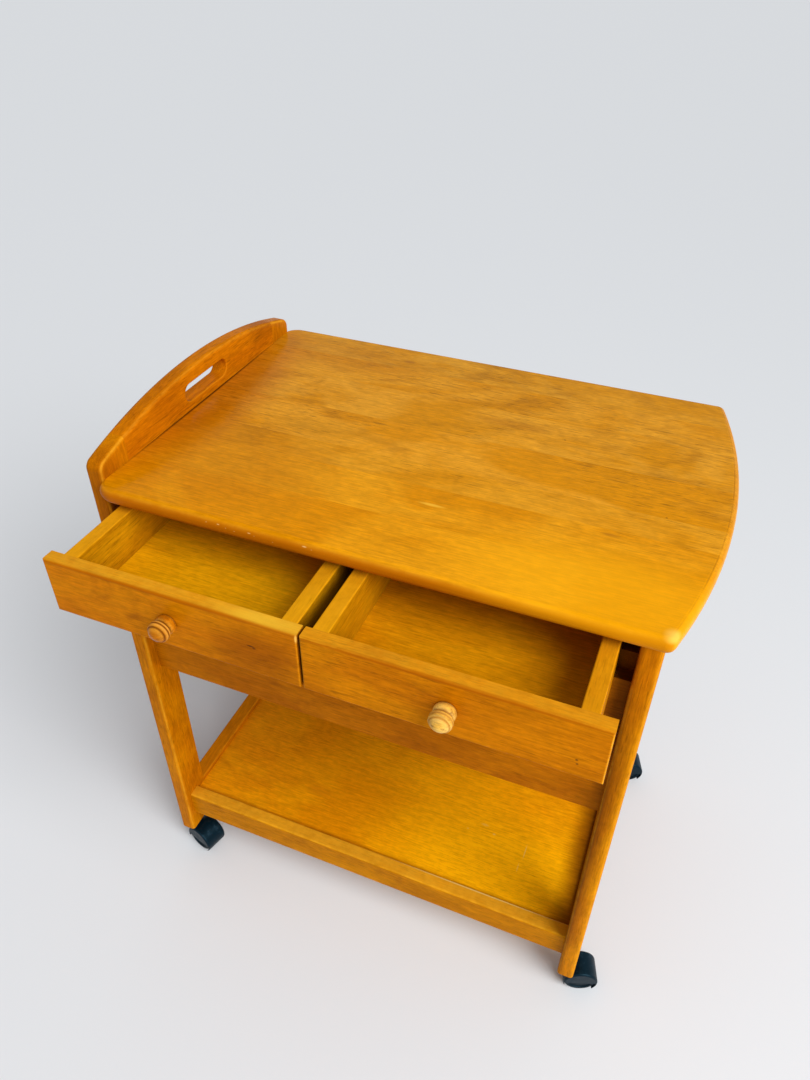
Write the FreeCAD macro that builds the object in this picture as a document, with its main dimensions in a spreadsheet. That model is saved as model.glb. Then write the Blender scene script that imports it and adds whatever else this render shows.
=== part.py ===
import FreeCAD, Part
import math
import os
import re

import Sketcher

# A tea trolley in millimetres: a top with an arched handle end, two drawers, a low shelf, a leaf at the back
# and four casters. X runs to the bowed end, the front is on the -Y side and Z runs up from the floor.
SIZES = (
    ("top_length", 606.0, "left edge of the top to its right corners"),
    ("bow_rise", 34.0, "how far the right end bows out"),
    ("top_depth", 450.0, "front edge to back edge of the top"),
    ("top_thickness", 18.0, "board of the top"),
    ("top_height", 708.0, "floor to the upper face of the top"),
    ("top_round", 8.0, "edge rounding of the top"),
    ("left_corner", 26.0, "plan radius of the left corners"),
    ("right_corner", 10.0, "plan radius of the right corners"),
    ("end_thickness", 22.0, "legs and handle panel, along the length"),
    ("leg_width", 45.0, "legs, front to back"),
    ("leg_setback", 15.5, "edge of the top to the face of a leg"),
    ("leg_round", 5.0, "edge rounding of legs and handle"),
    ("right_overhang", 5.0, "right leg to the right corner of the top"),
    ("handle_rise", 51.0, "upper face of the top to the crown of the arch"),
    ("handle_shoulder", 17.5, "upper face of the top to the ends of the arch"),
    ("handle_corner", 12.0, "radius at the ends of the arch"),
    ("slot_length", 92.0, "hand slot along the arch"),
    ("slot_height", 22.0, "hand slot"),
    ("slot_rise", 21.0, "upper face of the top to the middle of the slot"),
    ("slot_round", 2.0, "edge rounding of the slot"),
    ("apron_thickness", 15.0, "aprons and right end panel"),
    ("apron_drop", 302.0, "upper face of the top to the lower edge of the aprons"),
    ("apron_clear", 1.0, "drawer box to the front apron"),
    ("drawer_open", 108.0, "how far the drawers stand out"),
    ("drawer_headroom", 8.0, "top to the drawers"),
    ("front_height", 69.0, "drawer front"),
    ("front_thickness", 15.0, "drawer front"),
    ("front_round", 2.0, "edge rounding of the drawer fronts"),
    ("front_end_gap", 2.0, "drawer front to the leg"),
    ("front_mid_gap", 3.0, "between the two drawer fronts"),
    ("front_stop_gap", 0.5, "closed drawer front to the apron"),
    ("box_outer_inset", 15.0, "outer end of a front to its box"),
    ("box_inner_inset", 6.0, "inner end of a front to its box"),
    ("wall_thickness", 17.0, "drawer sides"),
    ("wall_height", 64.0, "drawer sides"),
    ("wall_round", 1.5, "edge rounding of the drawer sides"),
    ("box_length", 350.0, "drawer sides behind the front"),
    ("box_back_thickness", 12.0, "drawer back"),
    ("bottom_thickness", 5.0, "drawer bottom"),
    ("bottom_rise", 6.0, "lower edge of the sides to the drawer bottom"),
    ("bottom_groove", 6.0, "groove for the drawer bottom"),
    ("groove_clear", 0.2, "play of a panel in its groove"),
    ("slide_clear", 0.3, "play between drawers and runners"),
    ("runner_thickness", 18.0, "runner under the drawer sides"),
    ("runner_reach", 13.0, "runner under the wall of a drawer"),
    ("guide_height", 24.0, "guide above the runner"),
    ("batten_size", 14.0, "battens under the top, square"),
    ("knob_radius", 12.0, "drawer knob"),
    ("knob_length", 24.0, "drawer knob"),
    ("knob_screw_radius", 2.0, "shank of a knob screw"),
    ("knob_head_radius", 4.5, "head of a knob screw"),
    ("knob_head_height", 2.4, "head of a knob screw"),
    ("knob_screw_reach", 13.0, "knob screw in the knob"),
    ("shelf_height", 127.0, "floor to the upper edge of the shelf rails"),
    ("rail_height", 43.0, "shelf rails"),
    ("rail_thickness", 19.0, "front and back shelf rails"),
    ("rail_setback", 11.0, "face of the leg to the face of the rail"),
    ("rail_round", 3.0, "edge rounding of the shelf rails"),
    ("shelf_recess", 8.0, "upper edge of the rails to the shelf"),
    ("shelf_thickness", 9.0, "shelf panel"),
    ("shelf_groove", 6.0, "groove for the shelf panel"),
    ("dowel_radius", 4.0, "dowels of the frame"),
    ("dowel_length", 34.0, "dowels of the frame"),
    ("hole_clear", 0.1, "play of a peg or a screw in its hole"),
    ("batten_screw_radius", 2.0, "screws through the battens"),
    ("batten_screw_bite", 11.0, "screws in the top"),
    ("batten_screw_head", 3.8, "head radius of the screws through the battens"),
    ("batten_head_height", 2.2, "head of the screws through the battens"),
    ("leaf_width", 280.0, "hinged edge to free edge of the leaf"),
    ("leaf_thickness", 18.0, "leaf"),
    ("leaf_round", 8.0, "edge rounding of the leaf"),
    ("leaf_corner", 24.0, "plan radius of the free corners of the leaf"),
    ("leaf_end_gap", 6.0, "leaf to the ends of the back edge"),
    ("hinge_gap", 0.5, "edge of the top or leaf to the hinge line"),
    ("pin_drop", 3.5, "under side of the top to the hinge line"),
    ("knuckle_radius", 3.2, "hinge knuckles"),
    ("knuckle_gap", 0.4, "between the knuckles of a hinge"),
    ("hinge_pin_radius", 1.6, "hinge pin"),
    ("pin_clear", 0.05, "play of a pin in its bore"),
    ("hinge_width", 64.0, "hinge along the pin"),
    ("hinge_flap", 30.0, "hinge line to the edge of a flap"),
    ("hinge_plate", 1.6, "metal of the hinge flaps"),
    ("hinge_screw_radius", 1.5, "hinge screws"),
    ("hinge_screw_bite", 11.0, "hinge screws in the wood"),
    ("hinge_screw_head", 3.0, "head radius of the hinge screws"),
    ("stay_width", 16.0, "stay arms, square"),
    ("stay_drop", 115.0, "hinge line of the leaf to the pivot of a stay"),
    ("stay_clear", 0.3, "raised leaf to the tip of a stay"),
    ("stay_stand", 13.0, "apron to the pivot of a stay"),
    ("stay_pin_radius", 3.0, "pin of a stay"),
    ("stay_pin_head", 5.0, "head radius of the pin of a stay"),
    ("stay_head_height", 1.8, "head of the pin of a stay"),
    ("bracket_plate", 2.0, "metal of the stay brackets"),
    ("bracket_height", 30.0, "stay brackets"),
    ("bracket_tail", 7.0, "pivot to the free edge of an ear"),
    ("ear_gap", 0.5, "ear of a bracket to the stay"),
    ("caster_height", 50.0, "floor to the foot of a leg"),
    ("caster_trail", 18.5, "swivel line to the wheel centre"),
    ("wheel_radius", 21.5, "caster wheels"),
    ("wheel_width", 11.0, "caster wheels"),
    ("wheel_round", 2.5, "edge rounding of the wheels"),
    ("wheel_dish", 1.5, "hollow in the outer face of a wheel"),
    ("wheel_gap", 0.7, "wheel to hood"),
    ("axle_radius", 2.5, "wheel axle"),
    ("hood_wall", 1.5, "shell of the hood"),
    ("hood_web", 7.0, "web between the wheels"),
    ("hood_round", 3.0, "edge rounding of the hood"),
    ("hood_lip", 7.0, "floor to the lip of the hood"),
    ("web_drop", 6.0, "wheel centre to the lower edge of the web"),
    ("boss_radius", 8.5, "swivel boss"),
    ("boss_depth", 11.0, "foot of the leg to the lower end of the stem"),
    ("stem_radius", 4.0, "caster stem"),
    ("stem_reach", 33.0, "stem in the leg"),
    ("socket_wall", 1.4, "sleeve round the stem"),
    ("flange_thickness", 1.5, "flange of the sleeve"),
    ("flange_radius", 9.0, "flange of the sleeve"),
    ("swivel_gap", 0.3, "flange to the swivel boss"),
)

# Caster headings in degrees, from +X round to +Y.
TURNS = (
    ("left_front_turn", -15.0),
    ("right_front_turn", 19.5),
    ("left_back_turn", 8.0),
    ("right_back_turn", 20.0),
)

# Places worked out from the sizes. x0, y0 is the front left corner of the top at the face of the handle.
PLACES = {
    "x0": "end_thickness - (end_thickness + top_length + bow_rise) / 2",
    "knob_tip": "leg_setback - drawer_open - knob_length",
    "leaf_face": "top_depth + hinge_gap + pin_drop + leaf_thickness",
    "y0": "-(knob_tip + leaf_face) / 2",
    "under": "top_height - top_thickness",
    "right_x": "x0 + top_length - right_overhang - end_thickness",
    "clear_length": "right_x - x0",
    "front_leg_y": "y0 + leg_setback",
    "back_leg_y": "y0 + top_depth - leg_setback - leg_width",
    "clear_depth": "back_leg_y - front_leg_y - leg_width",
    "arch_half": "top_depth / 2 - leg_setback",
    "arch_swell": "handle_rise - handle_shoulder",
    "arch_radius": "(arch_half * arch_half + arch_swell * arch_swell) / (2 * arch_swell)",
    "seam_half": "arch_half - leg_width",
    "arch_low": "arch_radius - handle_rise",
    "seam_rise": "sqrt(arch_radius * arch_radius - seam_half * seam_half) - arch_low",
    "apron_low": "top_height - apron_drop",
    "front_apron_y": "front_leg_y + front_thickness + front_stop_gap",
    "back_apron_y": "y0 + top_depth - leg_setback - front_thickness - apron_thickness",
    "drawer_top": "under - drawer_headroom",
    "wall_low": "drawer_top - wall_height",
    "drawer_y": "front_leg_y - drawer_open",
    "box_y": "drawer_y + front_thickness",
    "front_width": "(clear_length - 2 * front_end_gap - front_mid_gap) / 2",
    "box_width": "front_width - box_outer_inset - box_inner_inset",
    "inner_width": "box_width - 2 * wall_thickness",
    "left_front_x": "x0 + front_end_gap",
    "right_front_x": "left_front_x + front_width + front_mid_gap",
    "left_box_x": "left_front_x + box_outer_inset",
    "right_box_x": "right_front_x + box_inner_inset",
    "knob_z": "drawer_top - front_height / 2",
    "runner_top": "wall_low - slide_clear",
    "runner_y": "front_apron_y + apron_thickness",
    "runner_length": "back_apron_y - runner_y",
    "outer_guide": "front_end_gap + box_outer_inset - slide_clear",
    "boxes_gap": "right_box_x - left_box_x - box_width",
    "right_panel_x": "right_x + (end_thickness - apron_thickness) / 2",
    "rail_low": "shelf_height - rail_height",
    "front_rail_y": "front_leg_y + rail_setback",
    "back_rail_y": "y0 + top_depth - leg_setback - rail_setback - rail_thickness",
    "shelf_top": "shelf_height - shelf_recess",
    "hinge_y": "y0 + top_depth + hinge_gap",
    "hinge_z": "under - pin_drop",
    "leaf_y": "hinge_y + pin_drop",
    "leaf_top": "hinge_z - hinge_gap",
    "leaf_x": "x0 + leaf_end_gap",
    "leaf_length": "top_length - 2 * leaf_end_gap",
    "stay_half": "stay_width / 2",
    "stay_y": "back_apron_y + apron_thickness + stay_stand",
    "stay_z": "hinge_z - stay_drop",
    "stay_reach": "(stay_drop + pin_drop - stay_half - stay_clear) * sqrt(2)",
    "bracket_width": "stay_width + 2 * ear_gap + 2 * bracket_plate",
    "hood_hollow": "wheel_radius + wheel_gap",
    "hood_radius": "hood_hollow + hood_wall",
    "wheel_inner": "hood_web / 2 + wheel_gap",
    "hood_inner_half": "wheel_inner + wheel_width + wheel_gap",
    "hood_half": "hood_inner_half + hood_wall",
    "boss_top": "caster_height - flange_thickness - swivel_gap",
    "socket_bore": "stem_radius + pin_clear",
    "socket_radius": "socket_bore + socket_wall",
    "socket_hole": "socket_radius + hole_clear",
    "stem_low": "caster_height - boss_depth",
    "stem_top": "caster_height + stem_reach",
    "left_leg_mid_x": "x0 - end_thickness / 2",
    "right_leg_mid_x": "right_x + end_thickness / 2",
    "front_leg_mid_y": "front_leg_y + leg_width / 2",
    "back_leg_mid_y": "back_leg_y + leg_width / 2",
}

# Outline of a knob from its foot to its tip: radius and distance along it as shares of the knob's radius and
# length, then how far the stretch to the next point swells, as a share of the radius.
KNOB_SHARES = (
    (0.74, 0.0, 0.21),
    (0.68, 0.39, 0.0),
    (0.68, 0.43, 0.0),
    (0.87, 0.46, 0.04),
    (0.95, 0.585, 0.0),
    (0.89, 0.605, 0.0),
    (0.93, 0.625, 0.05),
    (0.86, 0.775, 0.0),
    (0.79, 0.79, 0.0),
    (0.79, 0.81, 0.0),
)
HINGE_SHARES = (0.14, 0.50, 0.86)
STAY_SHARES = (0.30, 0.70)
BATTEN_SCREW_SHARES = (0.15, 0.85)
APRON_DOWEL_SHARES = (0.20, 0.80)
END_DOWEL_SHARES = (0.32, 0.88)
RAIL_DOWEL_SHARE = 0.28
FLAP_SCREW_SHARES = ((0.16, 0.62), (0.50, 0.78), (0.84, 0.62))
BRACKET_SCREW_SHARES = (0.14, 0.86)
ROUND_LIMIT_SHARE = 0.47
# Rim, hollow and hub of a wheel as shares of its radius.
WHEEL_RIM_SHARE = 0.80
WHEEL_HOLLOW_SHARE = 0.74
WHEEL_HUB_SHARE = 0.34
# Where the hood is cut away below its wheel, and how low its boss starts, as shares of its radius.
HOOD_CUT_SHARE = 0.55
BOSS_LOW_SHARE = 0.45
CLOSE = 1e-4

ALIASES = {row[0] for row in SIZES} | {row[0] for row in TURNS}
WORD = re.compile(r"[a-z][a-z_0-9]*")

doc = FreeCAD.newDocument("tea_trolley")
sheet = doc.addObject("Spreadsheet::Sheet", "Sizes")
for row, entry in enumerate(SIZES + TURNS, start=1):
    sheet.set(f"B{row}", str(entry[1]))
    sheet.setAlias(f"B{row}", entry[0])
doc.recompute()

pieces = []


def bound(text):
    """Spell a formula out in cells of the sheet."""
    def cell(match):
        word = match.group(0)
        if word in PLACES:
            return "(" + bound(PLACES[word]) + ")"
        if word in ALIASES:
            return "Sizes." + word
        return word
    return WORD.sub(cell, text)


def value(text):
    """Number that a formula gives now."""
    result = sheet.evalExpression(bound(text))
    return float(getattr(result, "Value", result))


def place(thing, x, y, z):
    thing.setExpression("Placement.Base.x", bound(x))
    thing.setExpression("Placement.Base.y", bound(y))
    thing.setExpression("Placement.Base.z", bound(z))


def keep(thing, label):
    """Name an object as one of the trolley's pieces."""
    thing.Label = label
    pieces.append(thing)


def new_body(name, x, y, z):
    body = doc.addObject("PartDesign::Body", name + "_body")
    place(body, x, y, z)
    return body


def new_sketch(body, role):
    sketch = body.newObject("Sketcher::SketchObject", body.Name + "_sketch")
    plane = next(item for item in body.Origin.OriginFeatures if item.Role == role)
    sketch.AttachmentSupport = [(plane, "")]
    sketch.MapMode = "FlatFace"
    return sketch


def tie(sketch, kind, geometry, end, text):
    """Bind one coordinate of a point, from the sketch's origin, to a formula."""
    number = sketch.addConstraint(Sketcher.Constraint(kind, -1, 1, geometry, end, value(text)))
    sketch.setExpression(f"Constraints[{number}]", bound(text))


def arc_between(start, end, radius):
    """Arc that swells to the right of the way from start to end, or to the left for a radius below zero."""
    chord = end - start
    size = abs(radius)
    side = 1.0 if radius > 0 else -1.0
    depth = math.sqrt(max(size * size - chord.Length * chord.Length / 4, 0.0))
    normal = FreeCAD.Vector(-chord.y, chord.x, 0).normalize()
    centre = (start + end) * 0.5 + normal * side * depth
    first, last = (start, end) if radius > 0 else (end, start)
    first_angle = math.atan2(first.y - centre.y, first.x - centre.x)
    last_angle = math.atan2(last.y - centre.y, last.x - centre.x)
    return Part.ArcOfCircle(Part.Circle(centre, FreeCAD.Vector(0, 0, 1), size), first_angle, last_angle)


def outline(sketch, points):
    """Closed loop through points (x, y) or (x, y, radius of the arc to the next point)."""
    spots = [FreeCAD.Vector(value(point[0]), value(point[1]), 0) for point in points]
    ends = []
    for index, point in enumerate(points):
        start = spots[index]
        end = spots[(index + 1) % len(points)]
        if len(point) == 3:
            radius = value(point[2])
            number = sketch.addGeometry(arc_between(start, end, radius), False)
            ends.append((number, 1, 2) if radius > 0 else (number, 2, 1))
            bend = sketch.addConstraint(Sketcher.Constraint("Radius", number, abs(radius)))
            sketch.setExpression(f"Constraints[{bend}]", "abs(" + bound(point[2]) + ")")
        else:
            number = sketch.addGeometry(Part.LineSegment(start, end), False)
            ends.append((number, 1, 2))
    for index, (number, first, last) in enumerate(ends):
        following = ends[(index + 1) % len(ends)]
        sketch.addConstraint(Sketcher.Constraint("Coincident", number, last, following[0], following[1]))
        tie(sketch, "DistanceX", number, first, points[index][0])
        tie(sketch, "DistanceY", number, first, points[index][1])


def ring(sketch, x, y, radius):
    """Circle in a sketch."""
    spot = FreeCAD.Vector(value(x), value(y), 0)
    number = sketch.addGeometry(Part.Circle(spot, FreeCAD.Vector(0, 0, 1), value(radius)), False)
    bend = sketch.addConstraint(Sketcher.Constraint("Radius", number, value(radius)))
    sketch.setExpression(f"Constraints[{bend}]", bound(radius))
    tie(sketch, "DistanceX", number, 3, x)
    tie(sketch, "DistanceY", number, 3, y)


def pad(body, sketch, length):
    """Pad a sketch towards +X, +Y or +Z."""
    feature = body.newObject("PartDesign::Pad", body.Name + "_pad")
    feature.Profile = sketch
    feature.Reversed = sketch.AttachmentSupport[0][0].Role == "XZ_Plane"
    feature.setExpression("Length", bound(length))


def spin(body, sketch):
    """Turn a sketch round its own upright axis."""
    feature = body.newObject("PartDesign::Revolution", body.Name + "_turned")
    feature.Profile = sketch
    feature.ReferenceAxis = (sketch, ["V_Axis"])
    feature.Angle = 360


def soften(body, radius, chosen):
    """Round the edges that a test on their bounds picks."""
    doc.recompute()
    tip = body.Tip
    names = [f"Edge{number}" for number, edge in enumerate(tip.Shape.Edges, start=1)
             if chosen(edge.BoundBox)]
    feature = body.newObject("PartDesign::Fillet", body.Name + "_round")
    feature.Base = (tip, names)
    feature.setExpression("Radius", bound(radius))


def at(low, high, text):
    """Whether both bounds of an edge lie at a place."""
    spot = value(text)
    return abs(low - spot) < CLOSE and abs(high - spot) < CLOSE


def board(name, corner, size):
    """Plain board from its lowest corner."""
    body = new_body(name, *corner)
    sketch = new_sketch(body, "XY_Plane")
    outline(sketch, (("0", "0"), (size[0], "0"), (size[0], size[1]), ("0", size[1])))
    pad(body, sketch, size[2])
    return body


def bar(name, corner, role, points, length):
    """Bar of one section."""
    body = new_body(name, *corner)
    sketch = new_sketch(body, role)
    outline(sketch, points)
    pad(body, sketch, length)
    return body


WAYS = {
    "X": FreeCAD.Rotation(FreeCAD.Vector(0, 1, 0), 90),
    "Y": FreeCAD.Rotation(FreeCAD.Vector(1, 0, 0), -90),
    "-Y": FreeCAD.Rotation(FreeCAD.Vector(1, 0, 0), 90),
    "Z": FreeCAD.Rotation(),
}


def rod(name, start, radius, length, way):
    """Cylinder from the middle of one end."""
    thing = doc.addObject("Part::Cylinder", name)
    thing.Placement = FreeCAD.Placement(FreeCAD.Vector(), WAYS[way])
    thing.setExpression("Radius", bound(radius))
    thing.setExpression("Height", bound(length))
    place(thing, *start)
    return thing


def cone(name, start, wide, narrow, length, way):
    """Cone from the middle of its wide end."""
    thing = doc.addObject("Part::Cone", name)
    thing.Placement = FreeCAD.Placement(FreeCAD.Vector(), WAYS[way])
    thing.setExpression("Radius1", bound(wide))
    thing.setExpression("Radius2", bound(narrow))
    thing.setExpression("Height", bound(length))
    place(thing, *start)
    return thing


def block(name, corner, size):
    """Box from its lowest corner."""
    thing = doc.addObject("Part::Box", name)
    thing.setExpression("Length", bound(size[0]))
    thing.setExpression("Width", bound(size[1]))
    thing.setExpression("Height", bound(size[2]))
    place(thing, *corner)
    return thing


def joined(name, things):
    thing = doc.addObject("Part::MultiFuse", name)
    thing.Shapes = things
    return thing


def group(name, things):
    thing = doc.addObject("Part::Compound", name)
    thing.Links = things
    return thing


def cut(name, base, tools):
    thing = doc.addObject("Part::Cut", name)
    thing.Base = base
    thing.Tool = tools[0] if len(tools) == 1 else group(name + "_tools", tools)
    return thing


# Dowels at the leg joints, and the holes for them.
def dowels(axis, spots):
    """Dowel and hole for each middle point."""
    side = "XYZ".index(axis)
    pegs = []
    holes = []
    for index, spot in enumerate(spots):
        start = list(spot)
        start[side] = f"{spot[side]} - dowel_length / 2"
        pegs.append(rod(f"dowel_{axis}_{index}", start, "dowel_radius", "dowel_length", axis))
        start[side] = f"{spot[side]} - dowel_length / 2 - hole_clear"
        holes.append(rod(f"dowel_hole_{axis}_{index}", start, "dowel_radius + hole_clear",
                         "dowel_length + 2 * hole_clear", axis))
    return pegs, holes


across = []
along = []
rail_dowel_z = f"rail_low + rail_height * {RAIL_DOWEL_SHARE}"
for seam in ("x0", "right_x"):
    for share in APRON_DOWEL_SHARES:
        height = f"apron_low + (wall_low - apron_clear - apron_low) * {share}"
        across.append((seam, "front_apron_y + apron_thickness / 2", height))
        across.append((seam, "back_apron_y + apron_thickness / 2", height))
    across.append((seam, "front_rail_y + rail_thickness / 2", rail_dowel_z))
    across.append((seam, "back_rail_y + rail_thickness / 2", rail_dowel_z))
for seam in ("front_leg_y + leg_width", "back_leg_y"):
    for middle in ("left_leg_mid_x", "right_leg_mid_x"):
        for share in END_DOWEL_SHARES:
            along.append((middle, seam, f"apron_low + (under - apron_low) * {share}"))
        along.append((middle, seam, rail_dowel_z))
pegs_x, holes_x = dowels("X", across)
pegs_y, holes_y = dowels("Y", along)
keep(group("dowels", pegs_x + pegs_y), "frame_dowels")
dowel_holes = group("dowel_holes", holes_x + holes_y)

# Sleeves for the casters in the feet of the legs, and the holes for them.
LEG_SPOTS = (
    ("left_front", "left_leg_mid_x", "front_leg_mid_y"),
    ("right_front", "right_leg_mid_x", "front_leg_mid_y"),
    ("left_back", "left_leg_mid_x", "back_leg_mid_y"),
    ("right_back", "right_leg_mid_x", "back_leg_mid_y"),
)
sleeves = []
leg_holes = {}
for name, x, y in LEG_SPOTS:
    tube = rod(f"{name}_tube", (x, y, "caster_height"), "socket_radius", "stem_reach + socket_wall", "Z")
    flange = rod(f"{name}_flange", (x, y, "caster_height - flange_thickness"), "flange_radius",
                 "flange_thickness", "Z")
    bore = rod(f"{name}_bore", (x, y, "caster_height - flange_thickness"), "socket_bore",
               "flange_thickness + stem_reach + pin_clear", "Z")
    sleeves.append(cut(f"{name}_sleeve", joined(f"{name}_sleeve_stock", [tube, flange]), [bore]))
    leg_holes[name] = rod(f"{name}_leg_hole", (x, y, "caster_height"), "socket_hole",
                          "stem_reach + socket_wall + hole_clear", "Z")
keep(group("sleeves", sleeves), "caster_sockets")

# Left legs and handle panel, under one arch.
LEG_TOP = "top_height - caster_height"
ARCH_END = f"{LEG_TOP} + handle_shoulder"
ARCH_SEAM = f"{LEG_TOP} + seam_rise"


def arched_leg(name, y, seam, points):
    """Left leg whose upper end follows the arch."""
    body = bar(name, ("x0 - end_thickness", y, "caster_height"), "YZ_Plane", points, "end_thickness")
    soften(body, "handle_corner", lambda box: at(box.ZMin, box.ZMax, ARCH_END))
    soften(body, "leg_round", lambda box: box.XLength < CLOSE and box.ZLength > CLOSE
           and not at(box.YMin, box.YMax, seam))
    keep(cut(name, body, [dowel_holes, leg_holes[name.replace("_leg", "")]]), name)


arched_leg("left_front_leg", "front_leg_y", "leg_width",
           (("0", "0"), ("leg_width", "0"), ("leg_width", ARCH_SEAM, "arch_radius"), ("0", ARCH_END)))
arched_leg("left_back_leg", "back_leg_y", "0",
           (("0", "0"), ("leg_width", "0"), ("leg_width", ARCH_END, "arch_radius"), ("0", ARCH_SEAM)))

panel = new_body("handle_panel", "x0 - end_thickness", "front_leg_y + leg_width", "apron_low")
section = new_sketch(panel, "YZ_Plane")
arch_foot = "apron_drop + seam_rise"
outline(section, (("0", "0"), ("clear_depth", "0"), ("clear_depth", arch_foot, "arch_radius"),
                  ("0", arch_foot)))
slot_half = "slot_height / 2"
slot_z = "apron_drop + slot_rise"
slot_ends = ("(clear_depth - slot_length) / 2", "(clear_depth + slot_length) / 2")
outline(section, (
    (f"{slot_ends[0]} + {slot_half}", f"{slot_z} - {slot_half}"),
    (f"{slot_ends[1]} - {slot_half}", f"{slot_z} - {slot_half}", slot_half),
    (slot_ends[1], slot_z, slot_half),
    (f"{slot_ends[1]} - {slot_half}", f"{slot_z} + {slot_half}"),
    (f"{slot_ends[0]} + {slot_half}", f"{slot_z} + {slot_half}", slot_half),
    (slot_ends[0], slot_z, slot_half),
))
pad(panel, section, "end_thickness")
soften(panel, "leg_round", lambda box: box.XLength < CLOSE and box.ZMax > value(slot_z)
       and at(box.YLength, box.YLength, "clear_depth"))
soften(panel, "slot_round", lambda box: box.XLength < CLOSE and box.YMin > CLOSE
       and box.YMax < value("clear_depth") - CLOSE)
keep(cut("handle_panel", panel, [dowel_holes]), "handle_panel")

# Right legs, end panel and aprons.
for name, y, face in (("right_front", "front_leg_y", "0"), ("right_back", "back_leg_y", "leg_width")):
    leg = board(f"{name}_leg", ("right_x", y, "caster_height"),
                ("end_thickness", "leg_width", "under - caster_height"))
    soften(leg, "leg_round", lambda box: box.XLength < CLOSE and at(box.YMin, box.YMax, face))
    keep(cut(f"{name}_leg", leg, [dowel_holes, leg_holes[name]]), f"{name}_leg")

end_panel = board("right_end_panel", ("right_panel_x", "front_leg_y + leg_width", "apron_low"),
                  ("apron_thickness", "clear_depth", "under - apron_low"))
keep(cut("right_end_panel", end_panel, [dowel_holes]), "right_end_panel")
front_apron = board("front_apron", ("x0", "front_apron_y", "apron_low"),
                    ("clear_length", "apron_thickness", "wall_low - apron_clear - apron_low"))
keep(cut("front_apron", front_apron, [dowel_holes]), "front_apron")

# Battens under the top, and their screws.
top_holes = []
batten_screws = []
for name, x in (("left", "x0"), ("right", "right_panel_x - batten_size")):
    batten = board(f"{name}_batten", (x, "front_leg_y + leg_width", "under - batten_size"),
                   ("batten_size", "clear_depth", "batten_size"))
    shafts = []
    for index, share in enumerate(BATTEN_SCREW_SHARES):
        spot = (f"{x} + batten_size / 2", f"front_leg_y + leg_width + clear_depth * {share}",
                "under - batten_size")
        head = rod(f"{name}_batten_head_{index}", (spot[0], spot[1], f"{spot[2]} - batten_head_height"),
                   "batten_screw_head", "batten_head_height", "Z")
        shaft = rod(f"{name}_batten_shaft_{index}", spot, "batten_screw_radius",
                    "batten_size + batten_screw_bite", "Z")
        batten_screws.append(joined(f"{name}_batten_screw_{index}", [head, shaft]))
        shafts.append(rod(f"{name}_batten_hole_{index}", spot, "batten_screw_radius + hole_clear",
                          "batten_size + batten_screw_bite + hole_clear", "Z"))
    keep(cut(f"{name}_batten", batten, shafts), f"{name}_top_batten")
    top_holes += shafts
keep(group("batten_screws", batten_screws), "batten_screws")

# Hinges under the back edge. The flaps of the top have two knuckles, those of the leaf have one.
fixed_flaps = []
leaf_flaps = []
hinge_pins = []
fixed_screws = []
leaf_screws = []
leaf_holes = []
third = "hinge_width / 3"
half_gap = "knuckle_gap / 2"


def flap_screw(name, spot, way):
    """Countersunk screw, its hole in a flap and its hole in the wood."""
    side = 1 if way == "Y" else 2
    wood = list(spot)
    wood[side] = f"{spot[side]} + hinge_plate"
    head = cone(f"{name}_head", spot, "hinge_screw_head", "hinge_screw_radius", "hinge_plate", way)
    shaft = rod(f"{name}_shaft", spot, "hinge_screw_radius", "hinge_plate + hinge_screw_bite", way)
    sink = cone(f"{name}_sink", spot, "hinge_screw_head + hole_clear", "hinge_screw_radius + hole_clear",
                "hinge_plate", way)
    pilot = rod(f"{name}_pilot", wood, "hinge_screw_radius + hole_clear",
                "hinge_screw_bite + hole_clear", way)
    return joined(name, [head, shaft]), sink, pilot


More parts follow.
